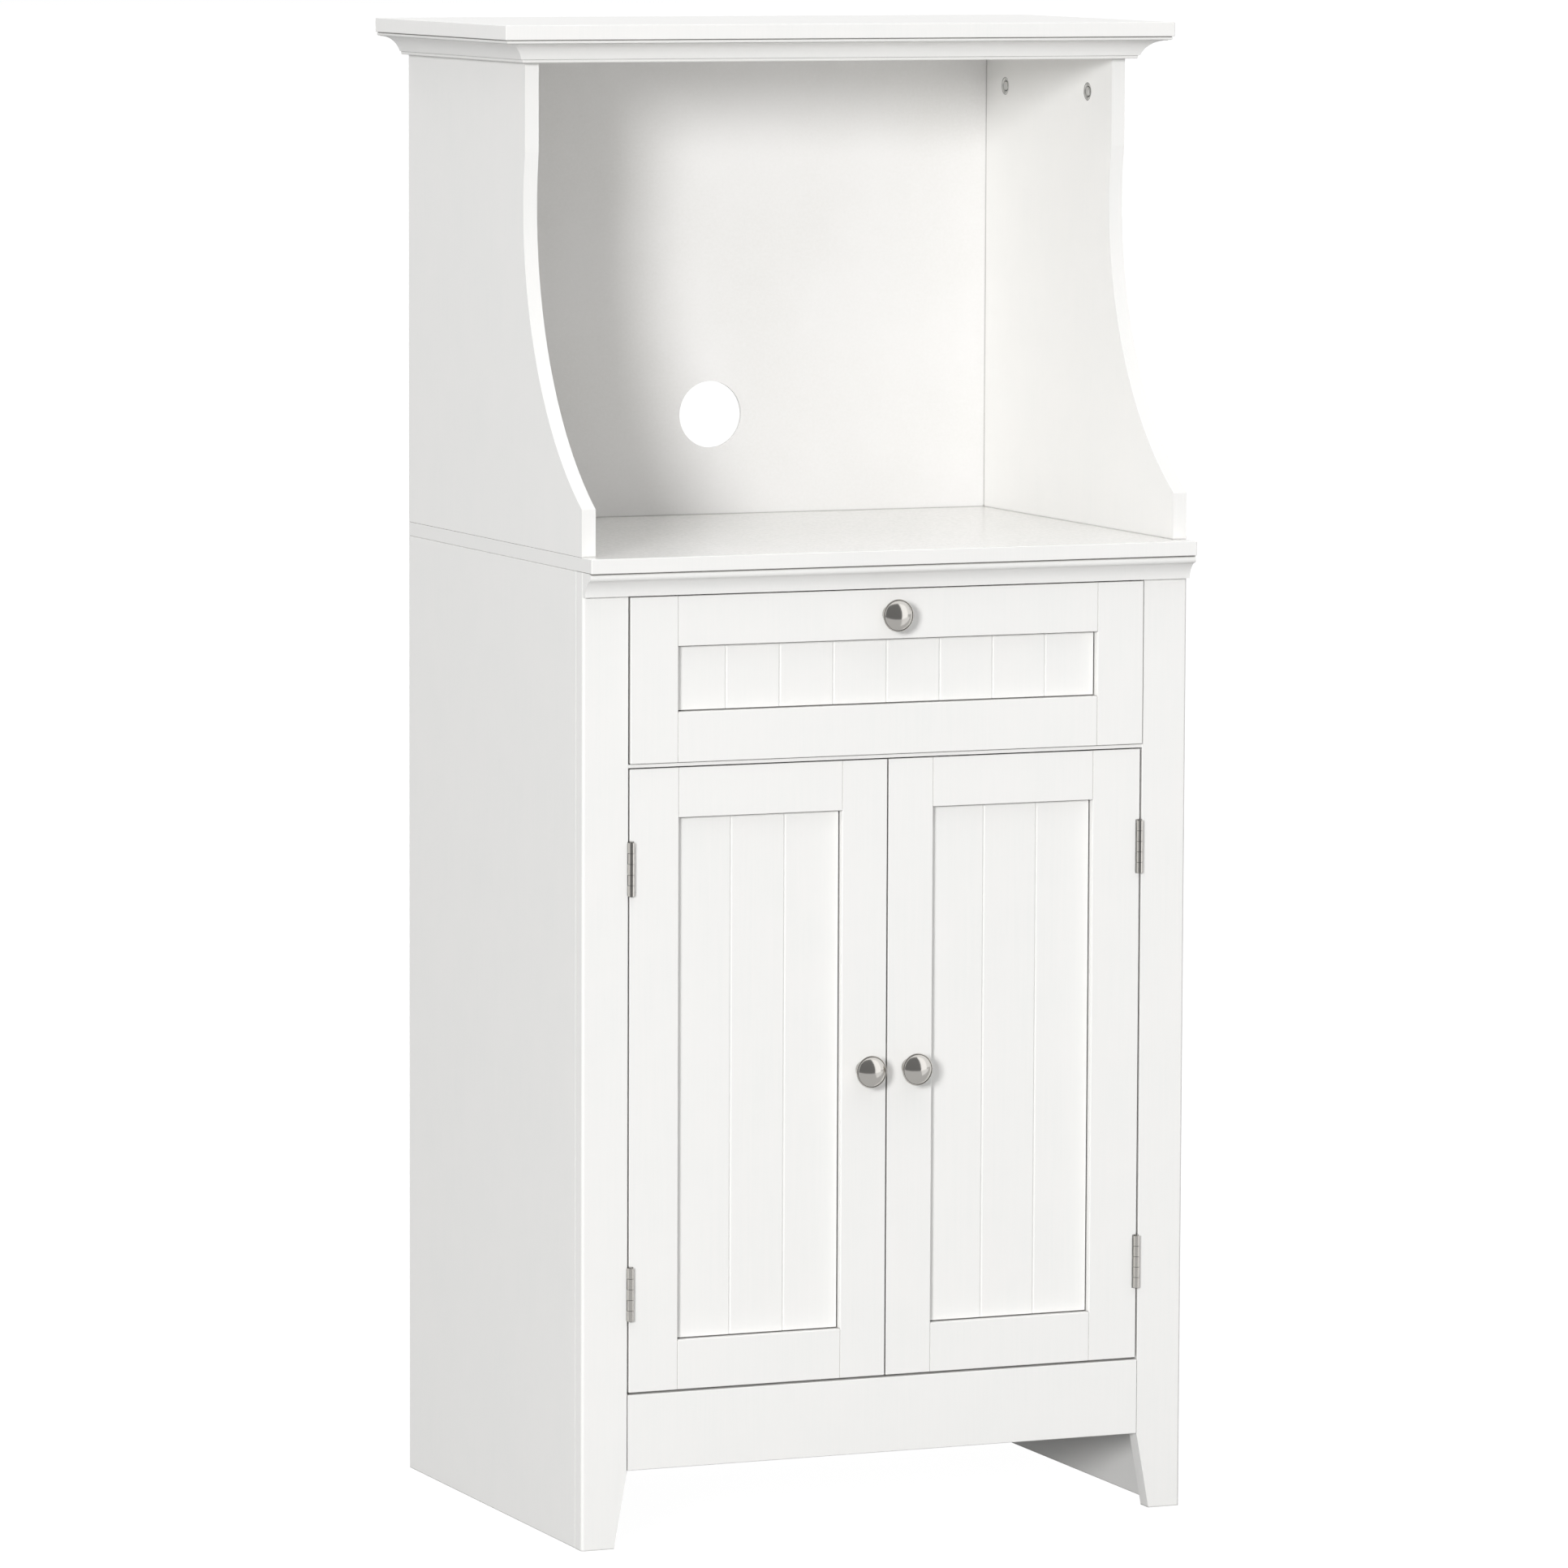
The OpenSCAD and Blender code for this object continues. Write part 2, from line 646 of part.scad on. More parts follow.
// Fixed steel channel, open towards the drawer between its two lips
module runner_channel(side) {
    inner_h = channel_h - 2 * channel_t;
    color(STEEL) on_side(side) difference() {
        block([leg_in - channel_depth, channel_y, runner_z - channel_h / 2],
              [leg_in, channel_y + channel_len, runner_z + channel_h / 2]);
        block([leg_in - channel_depth + channel_t, channel_y - CUT, runner_z - inner_h / 2],
              [leg_in - channel_t, channel_y + channel_len + CUT, runner_z + inner_h / 2]);
        block([leg_in - channel_depth - CUT, channel_y - CUT, runner_z - channel_h / 2 + channel_lip],
              [leg_in - channel_depth + channel_t + CUT, channel_y + channel_len + CUT,
               runner_z + channel_h / 2 - channel_lip]);
    }
}

// T-shaped rail on the drawer side, which slides in the channel
module runner_rail(side) {
    head_h = channel_h - 2 * channel_t - 2 * runner_play;
    neck_h = channel_h - 2 * channel_lip - 2 * runner_play;
    y0 = channel_y + 4;
    y1 = channel_y + channel_len;
    color(STEEL) on_side(side) {
        block([leg_in - channel_depth + channel_t + runner_play, y0, runner_z - head_h / 2],
              [leg_in - channel_t - runner_play, y1, runner_z + head_h / 2]);
        block([box_side_x, y0, runner_z - neck_h / 2],
              [leg_in - channel_depth + channel_t + runner_play, y1, runner_z + neck_h / 2]);
    }
}

// ---------------------------------------------------------------- fittings

// Outline of a knob: distance from its axis, and height above the front it stands on
module knob_profile() {
    r = knob_d / 2;
    bead_r = 0.6;                          // bead around the rim, outside the foot of the dome
    dome_foot = r - 2 * bead_r;
    rise = 5;
    rim = knob_reach - rise;
    dome_r = (dome_foot * dome_foot + rise * rise) / (2 * rise);
    difference() {
        union() {
            polygon([
                [0, 0], [7, 0], [7, 1], [5.6, 2.2], [4.8, 4], [4.6, 6], [5, 8], [6.2, 10],
                [8.6, rim - 3.6], [r - 1, rim - 1.6], [r - bead_r, rim - bead_r], [r - bead_r, rim],
                [0, rim]
            ]);
            translate([r - bead_r, rim]) circle(r = bead_r, $fn = 32);
            intersection() {
                translate([0, knob_reach - dome_r]) circle(r = dome_r, $fn = 128);
                translate([0, rim - bead_r]) square([dome_foot, rise + 2 * bead_r]);
            }
        }
        translate([-CUT, -CUT]) square([CUT + screw_r + 0.05, CUT + knob_thread]);
        translate([-knob_d, -CUT]) square([knob_d, knob_reach + 2 * CUT]);
    }
}

// Domed knob standing on a front face at the given place
module knob(x, y, z) {
    color(NICKEL) translate([x, y, z]) rotate([90, 0, 0]) rotate_extrude($fn = 96) knob_profile();
}

// Screw from the back of a front into its knob
module knob_screw(x, y, z) {
    color(STEEL) {
        rod_y(y - knob_thread + 0.5, y + frame_t, x, z, screw_r);
        rod_y(y + frame_t, y + frame_t + screw_head_h, x, z, screw_head_r);
    }
}

// Magnetic catches under the divider rail, one for each door
module magnet_catches() {
    front = door_y + frame_t + strike_t + strike_gap;
    color("#F0F0EE") for (side = [LEFT, RIGHT]) on_side(side)
        board([door_knob_x - catch_w / 2 + 1, front, divider_z - catch_h],
              [door_knob_x + catch_w / 2 + 1, front + catch_depth, divider_z], 1);
}

module strike_plate(side) {
    back = door_y + frame_t;
    plate_w = 28;
    plate_h = 11;
    color(STEEL) on_side(side)
        block([door_knob_x - plate_w / 2, back, divider_z - catch_h],
              [door_knob_x + plate_w / 2, back + strike_t, divider_z - catch_h + plate_h]);
}

// ---------------------------------------------------------------- nodes

placed() base_side(LEFT);  // base_side_left
placed() base_side(RIGHT);  // base_side_right
placed() leg(LEFT);  // leg_left
placed() leg(RIGHT);  // leg_right
placed() kick_rail();
placed() base_bottom();
placed() divider_rail();
placed() worktop();
placed() worktop_moulding();
placed() base_back();
placed() shelf();
placed() shelf_pins();
placed() runner_cleat(LEFT);  // runner_cleat_left
placed() runner_cleat(RIGHT);  // runner_cleat_right
placed() runner_channel(LEFT);  // runner_channel_left
placed() runner_channel(RIGHT);  // runner_channel_right
placed() hinge_leaves_frame(LEFT);  // hinge_leaves_frame_left
placed() hinge_leaves_frame(RIGHT);  // hinge_leaves_frame_right
placed() hinge_pins();
placed() magnet_catches();
placed() hutch_side(LEFT);  // hutch_side_left
placed() hutch_side(RIGHT);  // hutch_side_right
placed() hutch_back();
placed() hutch_top();
placed() cam_locks();
placed() crown_board();
placed() crown_moulding_front();
placed() crown_moulding_side(LEFT);  // crown_moulding_left
placed() crown_moulding_side(RIGHT);  // crown_moulding_right
placed() door_hinge_stile(LEFT);  // door_left_hinge_stile
placed() door_meeting_stile(LEFT);  // door_left_meeting_stile
placed() door_top_rail(LEFT);  // door_left_top_rail
placed() door_bottom_rail(LEFT);  // door_left_bottom_rail
placed() door_panel(LEFT);  // door_left_panel
placed() hinge_leaves_door(LEFT);  // hinge_leaves_door_left
placed() knob(-door_knob_x, door_y, door_knob_z);  // knob_left
placed() knob_screw(-door_knob_x, door_y, door_knob_z);  // knob_screw_left
placed() strike_plate(LEFT);  // strike_plate_left
placed() door_hinge_stile(RIGHT);  // door_right_hinge_stile
placed() door_meeting_stile(RIGHT);  // door_right_meeting_stile
placed() door_top_rail(RIGHT);  // door_right_top_rail
placed() door_bottom_rail(RIGHT);  // door_right_bottom_rail
placed() door_panel(RIGHT);  // door_right_panel
placed() hinge_leaves_door(RIGHT);  // hinge_leaves_door_right
placed() knob(door_knob_x, door_y, door_knob_z);  // knob_right
placed() knob_screw(door_knob_x, door_y, door_knob_z);  // knob_screw_right
placed() strike_plate(RIGHT);  // strike_plate_right
placed() drawer_front_stile(LEFT);  // drawer_front_stile_left
placed() drawer_front_stile(RIGHT);  // drawer_front_stile_right
placed() drawer_front_top_rail();
placed() drawer_front_bottom_rail();
placed() drawer_front_panel();
placed() drawer_side(LEFT);  // drawer_side_left
placed() drawer_side(RIGHT);  // drawer_side_right
placed() drawer_back();
placed() drawer_bottom();
placed() runner_rail(LEFT);  // runner_rail_left
placed() runner_rail(RIGHT);  // runner_rail_right
placed() knob(0, drawer_y, drawer_knob_z);  // knob_drawer
placed() knob_screw(0, drawer_y, drawer_knob_z);  // knob_screw_drawer
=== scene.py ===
"""Looks of a white free-standing microwave cabinet: paint, metal fittings, stage and camera."""
import math

import bmesh
import bpy
from bpy.props import FloatProperty, FloatVectorProperty, IntProperty, PointerProperty
from mathutils import Matrix, Vector


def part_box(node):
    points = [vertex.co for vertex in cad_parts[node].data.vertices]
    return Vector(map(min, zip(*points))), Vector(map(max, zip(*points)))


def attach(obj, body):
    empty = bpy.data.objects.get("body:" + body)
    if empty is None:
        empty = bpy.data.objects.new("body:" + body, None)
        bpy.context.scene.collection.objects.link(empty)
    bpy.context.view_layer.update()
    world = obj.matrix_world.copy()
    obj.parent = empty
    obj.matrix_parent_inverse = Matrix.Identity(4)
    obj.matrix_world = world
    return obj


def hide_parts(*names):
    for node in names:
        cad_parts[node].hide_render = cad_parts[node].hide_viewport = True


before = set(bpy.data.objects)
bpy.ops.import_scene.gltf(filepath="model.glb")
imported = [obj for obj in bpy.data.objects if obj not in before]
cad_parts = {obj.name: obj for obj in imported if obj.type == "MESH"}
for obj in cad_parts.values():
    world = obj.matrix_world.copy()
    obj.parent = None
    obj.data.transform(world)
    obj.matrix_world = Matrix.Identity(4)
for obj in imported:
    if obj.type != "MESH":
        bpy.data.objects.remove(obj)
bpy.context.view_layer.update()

bl_info = {
    "name": "Microwave cabinet looks",
    "version": (1, 0, 0),
    "blender": (4, 5, 0),
    "location": "3D View > Sidebar > Cabinet",
    "description": "Finishes, small fittings, stage and camera of a painted microwave cabinet",
    "category": "Object",
}

MM = 0.001
TO_FRONT = Vector((0, -1, 0))              # the way that the doors and the drawer face
TO_BACK = Vector((0, 1, 0))
DOWN = Vector((0, 0, -1))
SIDES = (("left", -1), ("right", 1))

# Sizes that the nodes' boxes don't give
HINGE_H = 44 * MM
LEAF_T = 1.2 * MM                          # a hinge leaf, half of it let into the leg
PIN_END = 0.5 * MM                         # how far a pin stands out of its hinge
CHANNEL_T = 1.2 * MM
CATCH_W = 40 * MM

NODES = sorted(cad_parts)
WORKTOP = ["worktop"]
BACKS = ["base_back", "hutch_back", "drawer_bottom"]
HINGES = [n for n in NODES if n.startswith("hinge_")]
RUNNERS = [n for n in NODES if n.startswith(("runner_channel", "runner_rail"))]
STRIKES = ["strike_plate_left", "strike_plate_right"]
KNOBS = [("left", "door_left"), ("right", "door_right"), ("drawer", "drawer")]
FITTINGS = HINGES + RUNNERS + STRIKES + ["shelf_pins", "magnet_catches", "cam_locks"]
BOARDS = [n for n in NODES if n not in WORKTOP + BACKS + FITTINGS and not n.startswith("knob_")]


def linear(hex_text):
    """Linear red, green and blue and an alpha of 1 for an sRGB colour such as "#F4F4F1"."""
    channels = [int(hex_text[i:i + 2], 16) / 255 for i in (1, 3, 5)]
    return [c / 12.92 if c <= 0.04045 else ((c + 0.055) / 1.055) ** 2.4 for c in channels] + [1.0]


# ---------------------------------------------------------------- settings

class CabinetPaint(bpy.types.PropertyGroup):
    """Finish of the painted boards and of the coated backs"""
    colour: FloatVectorProperty(
        name="Paint", description="Colour of the satin paint", subtype="COLOR", size=4,
        default=linear("#F8F7F5"), min=0, max=1)
    thin: FloatVectorProperty(
        name="Thin paint", description="Colour where the paint lies a little thinner",
        subtype="COLOR", size=4, default=linear("#F5F5F3"), min=0, max=1)
    board: FloatVectorProperty(
        name="Coated board", description="Colour of the coat on the thin backs",
        subtype="COLOR", size=4, default=linear("#F2F1F0"), min=0, max=1)
    fibre: FloatVectorProperty(
        name="Fibres", description="Colour of that coat where the fibres stand",
        subtype="COLOR", size=4, default=linear("#EDECEA"), min=0, max=1)
    # Painted shade: the colour that the boards are darkened to in their joints and inner corners, in
    # place of the shadow there
    joint: FloatVectorProperty(
        name="Joints", description="Colour at the bottom of the joints between boards",
        subtype="COLOR", size=4, default=linear("#8C8A86"), min=0, max=1)
    roughness: FloatProperty(
        name="Roughness", description="Roughness of the satin paint", subtype="FACTOR",
        default=0.32, min=0, max=1)
    top_roughness: FloatProperty(
        name="Worktop roughness", description="Roughness of the worktop's harder coat",
        subtype="FACTOR", default=0.16, min=0, max=1)
    peel: FloatProperty(
        name="Orange peel", description="Width of the ripples in the sprayed paint",
        default=3 * MM, min=0.2 * MM, max=20 * MM, subtype="DISTANCE", unit="LENGTH")


class CabinetMetal(bpy.types.PropertyGroup):
    """Finish of the metal fittings"""
    nickel: FloatVectorProperty(
        name="Nickel", description="Colour of the plated knobs and hinges", subtype="COLOR",
        size=4, default=linear("#D6D3CE"), min=0, max=1)
    zinc: FloatVectorProperty(
        name="Zinc", description="Colour of the zinc-plated steel", subtype="COLOR", size=4,
        default=linear("#C6C9CC"), min=0, max=1)
    casting: FloatVectorProperty(
        name="Casting", description="Colour of the die-cast cam locks", subtype="COLOR", size=4,
        default=linear("#E2E2E0"), min=0, max=1)
    # Painted shade: the colour that the fittings are darkened to in their joints and recesses, in
    # place of the shadow there
    recess_shade: FloatVectorProperty(
        name="Recess shade", description="Colour in the joints and recesses of the fittings",
        subtype="COLOR", size=4, default=linear("#383836"), min=0, max=1)
    buffing: FloatProperty(
        name="Buffing", description="Roughness of the buffed nickel", subtype="FACTOR",
        default=0.14, min=0, max=1)


class CabinetKnob(bpy.types.PropertyGroup):
    """Shape of the domed knobs"""
    dome: FloatProperty(
        name="Dome", description="Diameter of the dome inside its rim", default=24.6 * MM,
        min=16 * MM, max=30 * MM, subtype="DISTANCE", unit="LENGTH")
    dome_rise: FloatProperty(
        name="Dome rise", description="Height of the dome over its rim", default=5 * MM,
        min=1 * MM, max=8 * MM, subtype="DISTANCE", unit="LENGTH")
    neck: FloatProperty(
        name="Neck", description="Diameter of the neck at its thinnest", default=9.2 * MM,
        min=6 * MM, max=16 * MM, subtype="DISTANCE", unit="LENGTH")


class CabinetFittings(bpy.types.PropertyGroup):
    """Sizes of the small screws and the nails, and the colour of the catches"""
    screw_head: FloatProperty(
        name="Screw head", description="Diameter of the small screw heads", default=4.4 * MM,
        min=3 * MM, max=7 * MM, subtype="DISTANCE", unit="LENGTH")
    nail_head: FloatProperty(
        name="Nail head", description="Diameter of the nail heads in the back", default=3.4 * MM,
        min=2 * MM, max=5 * MM, subtype="DISTANCE", unit="LENGTH")
    nails: IntProperty(
        name="Nails", description="Nails along the lower edge of the back", default=5, min=3, max=12)
    plastic: FloatVectorProperty(
        name="Plastic", description="Colour of the moulded catches", subtype="COLOR", size=4,
        default=linear("#F0F0ED"), min=0, max=1)


class CabinetStage(bpy.types.PropertyGroup):
    """Camera and lamps"""
    camera_place: FloatVectorProperty(
        name="Camera", description="Place of the camera", subtype="XYZ", unit="LENGTH", size=3,
        default=(-2.8714, -6.74355, 1.3971))
    yaw: FloatProperty(
        name="Yaw", description="Turn of the camera from the depth axis", subtype="ANGLE",
        unit="ROTATION", default=math.radians(22.967))
    pitch: FloatProperty(
        name="Pitch", description="Tilt of the camera over the horizon", subtype="ANGLE",
        unit="ROTATION", default=math.radians(-6.199))
    roll: FloatProperty(
        name="Roll", description="Turn of the camera about its view", subtype="ANGLE",
        unit="ROTATION", default=math.radians(0.227))
    lens: FloatProperty(
        name="Lens", description="Focal length on a 36 mm sensor", unit="CAMERA", default=201.34,
        min=20, max=400)
    key_power: FloatProperty(
        name="Key lamp", description="Power of the lamp at the front left", unit="POWER",
        default=850, min=0, max=5000)
    fill_power: FloatProperty(
        name="Fill lamp", description="Power of the weak lamp nearer the middle", unit="POWER",
        default=24, min=0, max=1000)
    key_turn: FloatProperty(
        name="Key turn", description="How far left of the front the key lamp stands",
        subtype="ANGLE", unit="ROTATION", default=math.radians(39))
    key_rise: FloatProperty(
        name="Key rise", description="How high over the horizon the key lamp stands",
        subtype="ANGLE", unit="ROTATION", default=math.radians(11))
    sky: FloatProperty(
        name="Sky", description="Strength of the light from straight overhead", default=1.5,
        min=0, max=5)


# ---------------------------------------------------------------- nodes and meshes

def add(tree, kind, settings=None, values=None, links=None):
    """Adds a shader node with its settings, its socket values and its links."""
    node = tree.nodes.new(kind)
    for name, value in (settings or {}).items():
        setattr(node, name, value)
    for name, value in (values or {}).items():
        node.inputs[name].default_value = value
    for name, source in (links or {}).items():
        tree.links.new(source, node.inputs[name])
    return node


def new_material(name):
    """A material without nodes, and its node tree."""
    material = bpy.data.materials.new(name)
    material.use_nodes = True
    material.node_tree.nodes.clear()
    return material, material.node_tree


def material_named(name, make):
    """The material of that name, made on its first use."""
    return bpy.data.materials.get(name) or make(name)


def wear(nodes, material):
    """Gives CAD nodes a material."""
    for name in nodes:
        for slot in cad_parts[name].material_slots:
            slot.material = material


def finish_piece(bm, name, material, body, stands_for=(), sharp=35):
    """Makes one piece from a bmesh in the cabinet's own frame and lets it ride on a body."""
    bmesh.ops.remove_doubles(bm, verts=bm.verts, dist=1e-6)
    bmesh.ops.recalc_face_normals(bm, faces=bm.faces)
    mesh = bpy.data.meshes.new(name)
    bm.to_mesh(mesh)
    bm.free()
    mesh.materials.append(material)
    mesh.shade_smooth()
    mesh.set_sharp_from_angle(angle=math.radians(sharp))
    piece = bpy.data.objects.new(name, mesh)
    bpy.context.scene.collection.objects.link(piece)
    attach(piece, body)
    if stands_for:
        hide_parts(*stands_for)


def facing(direction, place, turn=0.0):
    """Matrix that stands what was built towards +Z at a place, facing a direction."""
    turned = Vector((0, 0, 1)).rotation_difference(direction).to_matrix().to_4x4()
    return Matrix.Translation(place) @ turned @ Matrix.Rotation(turn, 4, "Z")


def join_into(bm, part, matrix):
    """Adds a finished bmesh to another one, placed by a matrix, and frees it."""
    bmesh.ops.remove_doubles(part, verts=part.verts, dist=1e-6)
    bmesh.ops.transform(part, matrix=matrix, verts=part.verts)
    scratch = bpy.data.meshes.new("scratch")
    part.to_mesh(scratch)
    part.free()
    bm.from_mesh(scratch)
    bpy.data.meshes.remove(scratch)


def arc(centre, radius, start, end, count):
    """Points on an arc round (distance from the axis, height), between two angles in degrees."""
    angles = [math.radians(start + (end - start) * i / (count - 1)) for i in range(count)]
    return [(centre[0] + radius * math.cos(a), centre[1] + radius * math.sin(a)) for a in angles]


def flowing(points, between=4):
    """A smooth line through points, with its ends counted twice."""
    line = [points[0], *points, points[-1]]
    out = [points[0]]
    for a, b, c, d in zip(line, line[1:], line[2:], line[3:]):
        for i in range(1, between + 1):
            t = i / between
            out.append(tuple(
                0.5 * (2 * q + (r - p) * t + (2 * p - 5 * q + 4 * r - s) * t * t
                       + (3 * q - p - 3 * r + s) * t ** 3)
                for p, q, r, s in zip(a, b, c, d)))
    return out


def lathe(profile, steps):
    """A bmesh turned about +Z from a profile of (distance from the axis, height)."""
    part = bmesh.new()
    verts = [part.verts.new((r, 0, z)) for r, z in profile]
    edges = [part.edges.new(pair) for pair in zip(verts, verts[1:])]
    bmesh.ops.spin(part, geom=verts + edges, cent=(0, 0, 0), axis=(0, 0, 1), angle=math.tau,
                   steps=steps, use_merge=True)
    return part


def cross_head(radius, height, depth, spread=0.55):
    """A round head that stands on z = 0 and has a cross recess in its top."""
    top_radius = radius * 0.86
    reach = radius * spread                # from the middle to the end of an arm of the recess
    arm = radius * 0.13                    # half the width of an arm
    part = bmesh.new()
    bmesh.ops.create_cone(part, cap_ends=True, segments=24, radius1=radius,
                          radius2=top_radius, depth=height)
    bmesh.ops.translate(part, verts=part.verts, vec=(0, 0, height / 2))
    top = max(part.faces, key=lambda face: face.calc_center_median().z)
    rim = list(top.edges)
    bmesh.ops.delete(part, geom=[top], context="FACES_ONLY")
    # A grid of nine faces, whose corner faces go
    grid = bmesh.ops.create_grid(part, x_segments=3, y_segments=3, size=reach)["verts"]
    for vert in grid:
        if abs(vert.co.x) < reach * 0.9:
            vert.co.x = math.copysign(arm, vert.co.x)
        if abs(vert.co.y) < reach * 0.9:
            vert.co.y = math.copysign(arm, vert.co.y)
        vert.co.z = height
    cross = list({face for vert in grid for face in vert.link_faces})
    corners = [f for f in cross if min(map(abs, f.calc_center_median().xy)) > arm / 2]
    bmesh.ops.delete(part, geom=corners, context="FACES")
    cross = [face for face in cross if face.is_valid]
    outline = [edge for face in cross for edge in face.edges if edge.is_boundary]
    bmesh.ops.bridge_loops(part, edges=rim + outline)
    # The recess narrows towards its bottom
    sunk = bmesh.ops.extrude_face_region(part, geom=cross)["geom"]
    floor = [item for item in sunk if isinstance(item, bmesh.types.BMVert)]
    bmesh.ops.scale(part, verts=floor, vec=(0.7, 0.7, 1))
    bmesh.ops.translate(part, verts=floor, vec=(0, 0, -depth))
    return part


# ---------------------------------------------------------------- materials

def shaded_joints(tree, colour, joint):
    """Painted shade: thin dark lines in the joints and inner corners, where little light comes out
    again.
    """
    # Counts only what lies within 2 mm: 1 on a bare face, and nearly 0 deep in a joint
    closeness = add(tree, "ShaderNodeAmbientOcclusion", {"samples": 8}, {"Distance": 2 * MM})
    amount = add(tree, "ShaderNodeMapRange", values={"From Min": 0.25, "From Max": 0.85},
                 links={"Value": closeness.outputs["AO"]})
    # Painted shade: the colour is mixed towards the dark joint colour where other faces lie within 2
    # mm
    lined = add(tree, "ShaderNodeMix", {"data_type": "RGBA"},
                links={"Factor": amount.outputs[0], "B": colour})
    lined.inputs["A"].default_value = joint
    return lined.outputs["Result"]


def sprayed_paint(name, roughness):
    """White paint sprayed on fibreboard: an even warm white with a slight ripple in its gloss."""
    paint = bpy.context.scene.cabinet_paint
    material, tree = new_material(name)
    place = add(tree, "ShaderNodeTexCoord").outputs["Object"]
    # Coats of uneven thickness, in patches 5 cm wide
    clouds = add(tree, "ShaderNodeTexNoise", values={"Scale": 1 / (50 * MM), "Detail": 4.0},
                 links={"Vector": place})
    # Sanding runs up and down the boards. Its streaks are 8 cm long and are drawn 1.5 mm wide, as
    # coarse as they need to be to show
    across, along = 1 / (1.5 * MM), 1 / (80 * MM)
    upright = add(tree, "ShaderNodeMapping", values={"Scale": (across, across, along)},
                  links={"Vector": place})
    streaks = add(tree, "ShaderNodeTexNoise", values={"Scale": 1.0, "Detail": 2.0},
                  links={"Vector": upright.outputs[0]})
    both = add(tree, "ShaderNodeMath", {"operation": "MULTIPLY"},
               links={0: clouds.outputs[0], 1: streaks.outputs[0]})
    amount = add(tree, "ShaderNodeMapRange", values={"From Min": 0.1, "From Max": 0.45},
                 links={"Value": both.outputs[0]})
    colour = add(tree, "ShaderNodeMix", {"data_type": "RGBA"}, links={"Factor": amount.outputs[0]})
    colour.inputs["A"].default_value = paint.colour
    colour.inputs["B"].default_value = paint.thin
    # Painted shade darkens the paint in the joints and inner corners
    joined = shaded_joints(tree, colour.outputs["Result"], paint.joint)
    # The skin of an orange, as spraying leaves it
    peel = add(tree, "ShaderNodeTexNoise", values={"Scale": 1 / paint.peel, "Detail": 2.0},
               links={"Vector": place})
    gloss = add(tree, "ShaderNodeMapRange", values={
        "To Min": roughness - 0.05, "To Max": roughness + 0.07},
        links={"Value": peel.outputs[0]})
    ripple = add(tree, "ShaderNodeBump", values={"Strength": 0.15, "Distance": 0.1 * MM},
                 links={"Height": peel.outputs[0]})
    shader = add(tree, "ShaderNodeBsdfPrincipled", values={"IOR": 1.48}, links={
        "Base Color": joined, "Roughness": gloss.outputs[0], "Normal": ripple.outputs[0]})
    add(tree, "ShaderNodeOutputMaterial", links={"Surface": shader.outputs[0]})
    return material


def satin_paint(name):
    """The boards' own coat, matted to a satin: soft, wide reflections."""
    return sprayed_paint(name, bpy.context.scene.cabinet_paint.roughness)


def worktop_lacquer(name):
    """The same white under a harder, smoother coat: it mirrors the hutch faintly at a low angle."""
    return sprayed_paint(name, bpy.context.scene.cabinet_paint.top_roughness)


def coated_hardboard(name):
    """Hardboard with a rolled coat, a little duller than the paint: fibres, and a screened rear."""
    paint = bpy.context.scene.cabinet_paint
    material, tree = new_material(name)
    coordinates = add(tree, "ShaderNodeTexCoord")
    place = coordinates.outputs["Object"]
    # Bundles of fibres 2.5 mm wide, drawn coarse enough to show, in clouds of 11 cm
    fibres = add(tree, "ShaderNodeTexNoise", values={
        "Scale": 1 / (2.5 * MM), "Detail": 5.0, "Roughness": 0.7}, links={"Vector": place})
    clouds = add(tree, "ShaderNodeTexNoise", values={"Scale": 1 / (110 * MM), "Detail": 3.0},
                 links={"Vector": place})
    both = add(tree, "ShaderNodeMath", {"operation": "MULTIPLY"},
               links={0: fibres.outputs[0], 1: clouds.outputs[0]})
    amount = add(tree, "ShaderNodeMapRange", values={"From Min": 0.14, "From Max": 0.40},
                 links={"Value": both.outputs[0]})
    colour = add(tree, "ShaderNodeMix", {"data_type": "RGBA"}, links={"Factor": amount.outputs[0]})
    colour.inputs["A"].default_value = paint.board
    colour.inputs["B"].default_value = paint.fibre
    # The wires of the press's screen, 3 mm apart, show on the rear face only. At a scale of 1, a
    # wave texture runs through 20 radians in a metre
    wires = math.tau / 20 / (3 * MM)
    warp = add(tree, "ShaderNodeTexWave", {"bands_direction": "X"},
               values={"Scale": wires, "Distortion": 0.3}, links={"Vector": place})
    weft = add(tree, "ShaderNodeTexWave", {"bands_direction": "Z"},
               values={"Scale": wires, "Distortion": 0.3}, links={"Vector": place})
    screen = add(tree, "ShaderNodeMath", {"operation": "MAXIMUM"},
                 links={0: warp.outputs["Fac"], 1: weft.outputs["Fac"]})
    outward = add(tree, "ShaderNodeSeparateXYZ", links={"Vector": coordinates.outputs["Normal"]})
    behind = add(tree, "ShaderNodeMath", {"operation": "MULTIPLY", "use_clamp": True},
                 links={0: screen.outputs[0], 1: outward.outputs["Y"]})
    relief = add(tree, "ShaderNodeMath", {"operation": "MULTIPLY_ADD"}, values={1: 0.25},
                 links={0: fibres.outputs[0], 2: behind.outputs[0]})
    ripple = add(tree, "ShaderNodeBump", values={"Strength": 0.25, "Distance": 0.12 * MM},
                 links={"Height": relief.outputs[0]})
    # Painted shade darkens the coat in the joints and inner corners
    joined = shaded_joints(tree, colour.outputs["Result"], paint.joint)
    shader = add(tree, "ShaderNodeBsdfPrincipled", values={"Roughness": 0.52, "IOR": 1.48},
                 links={"Base Color": joined, "Normal": ripple.outputs[0]})
    add(tree, "ShaderNodeOutputMaterial", links={"Surface": shader.outputs[0]})
    return material


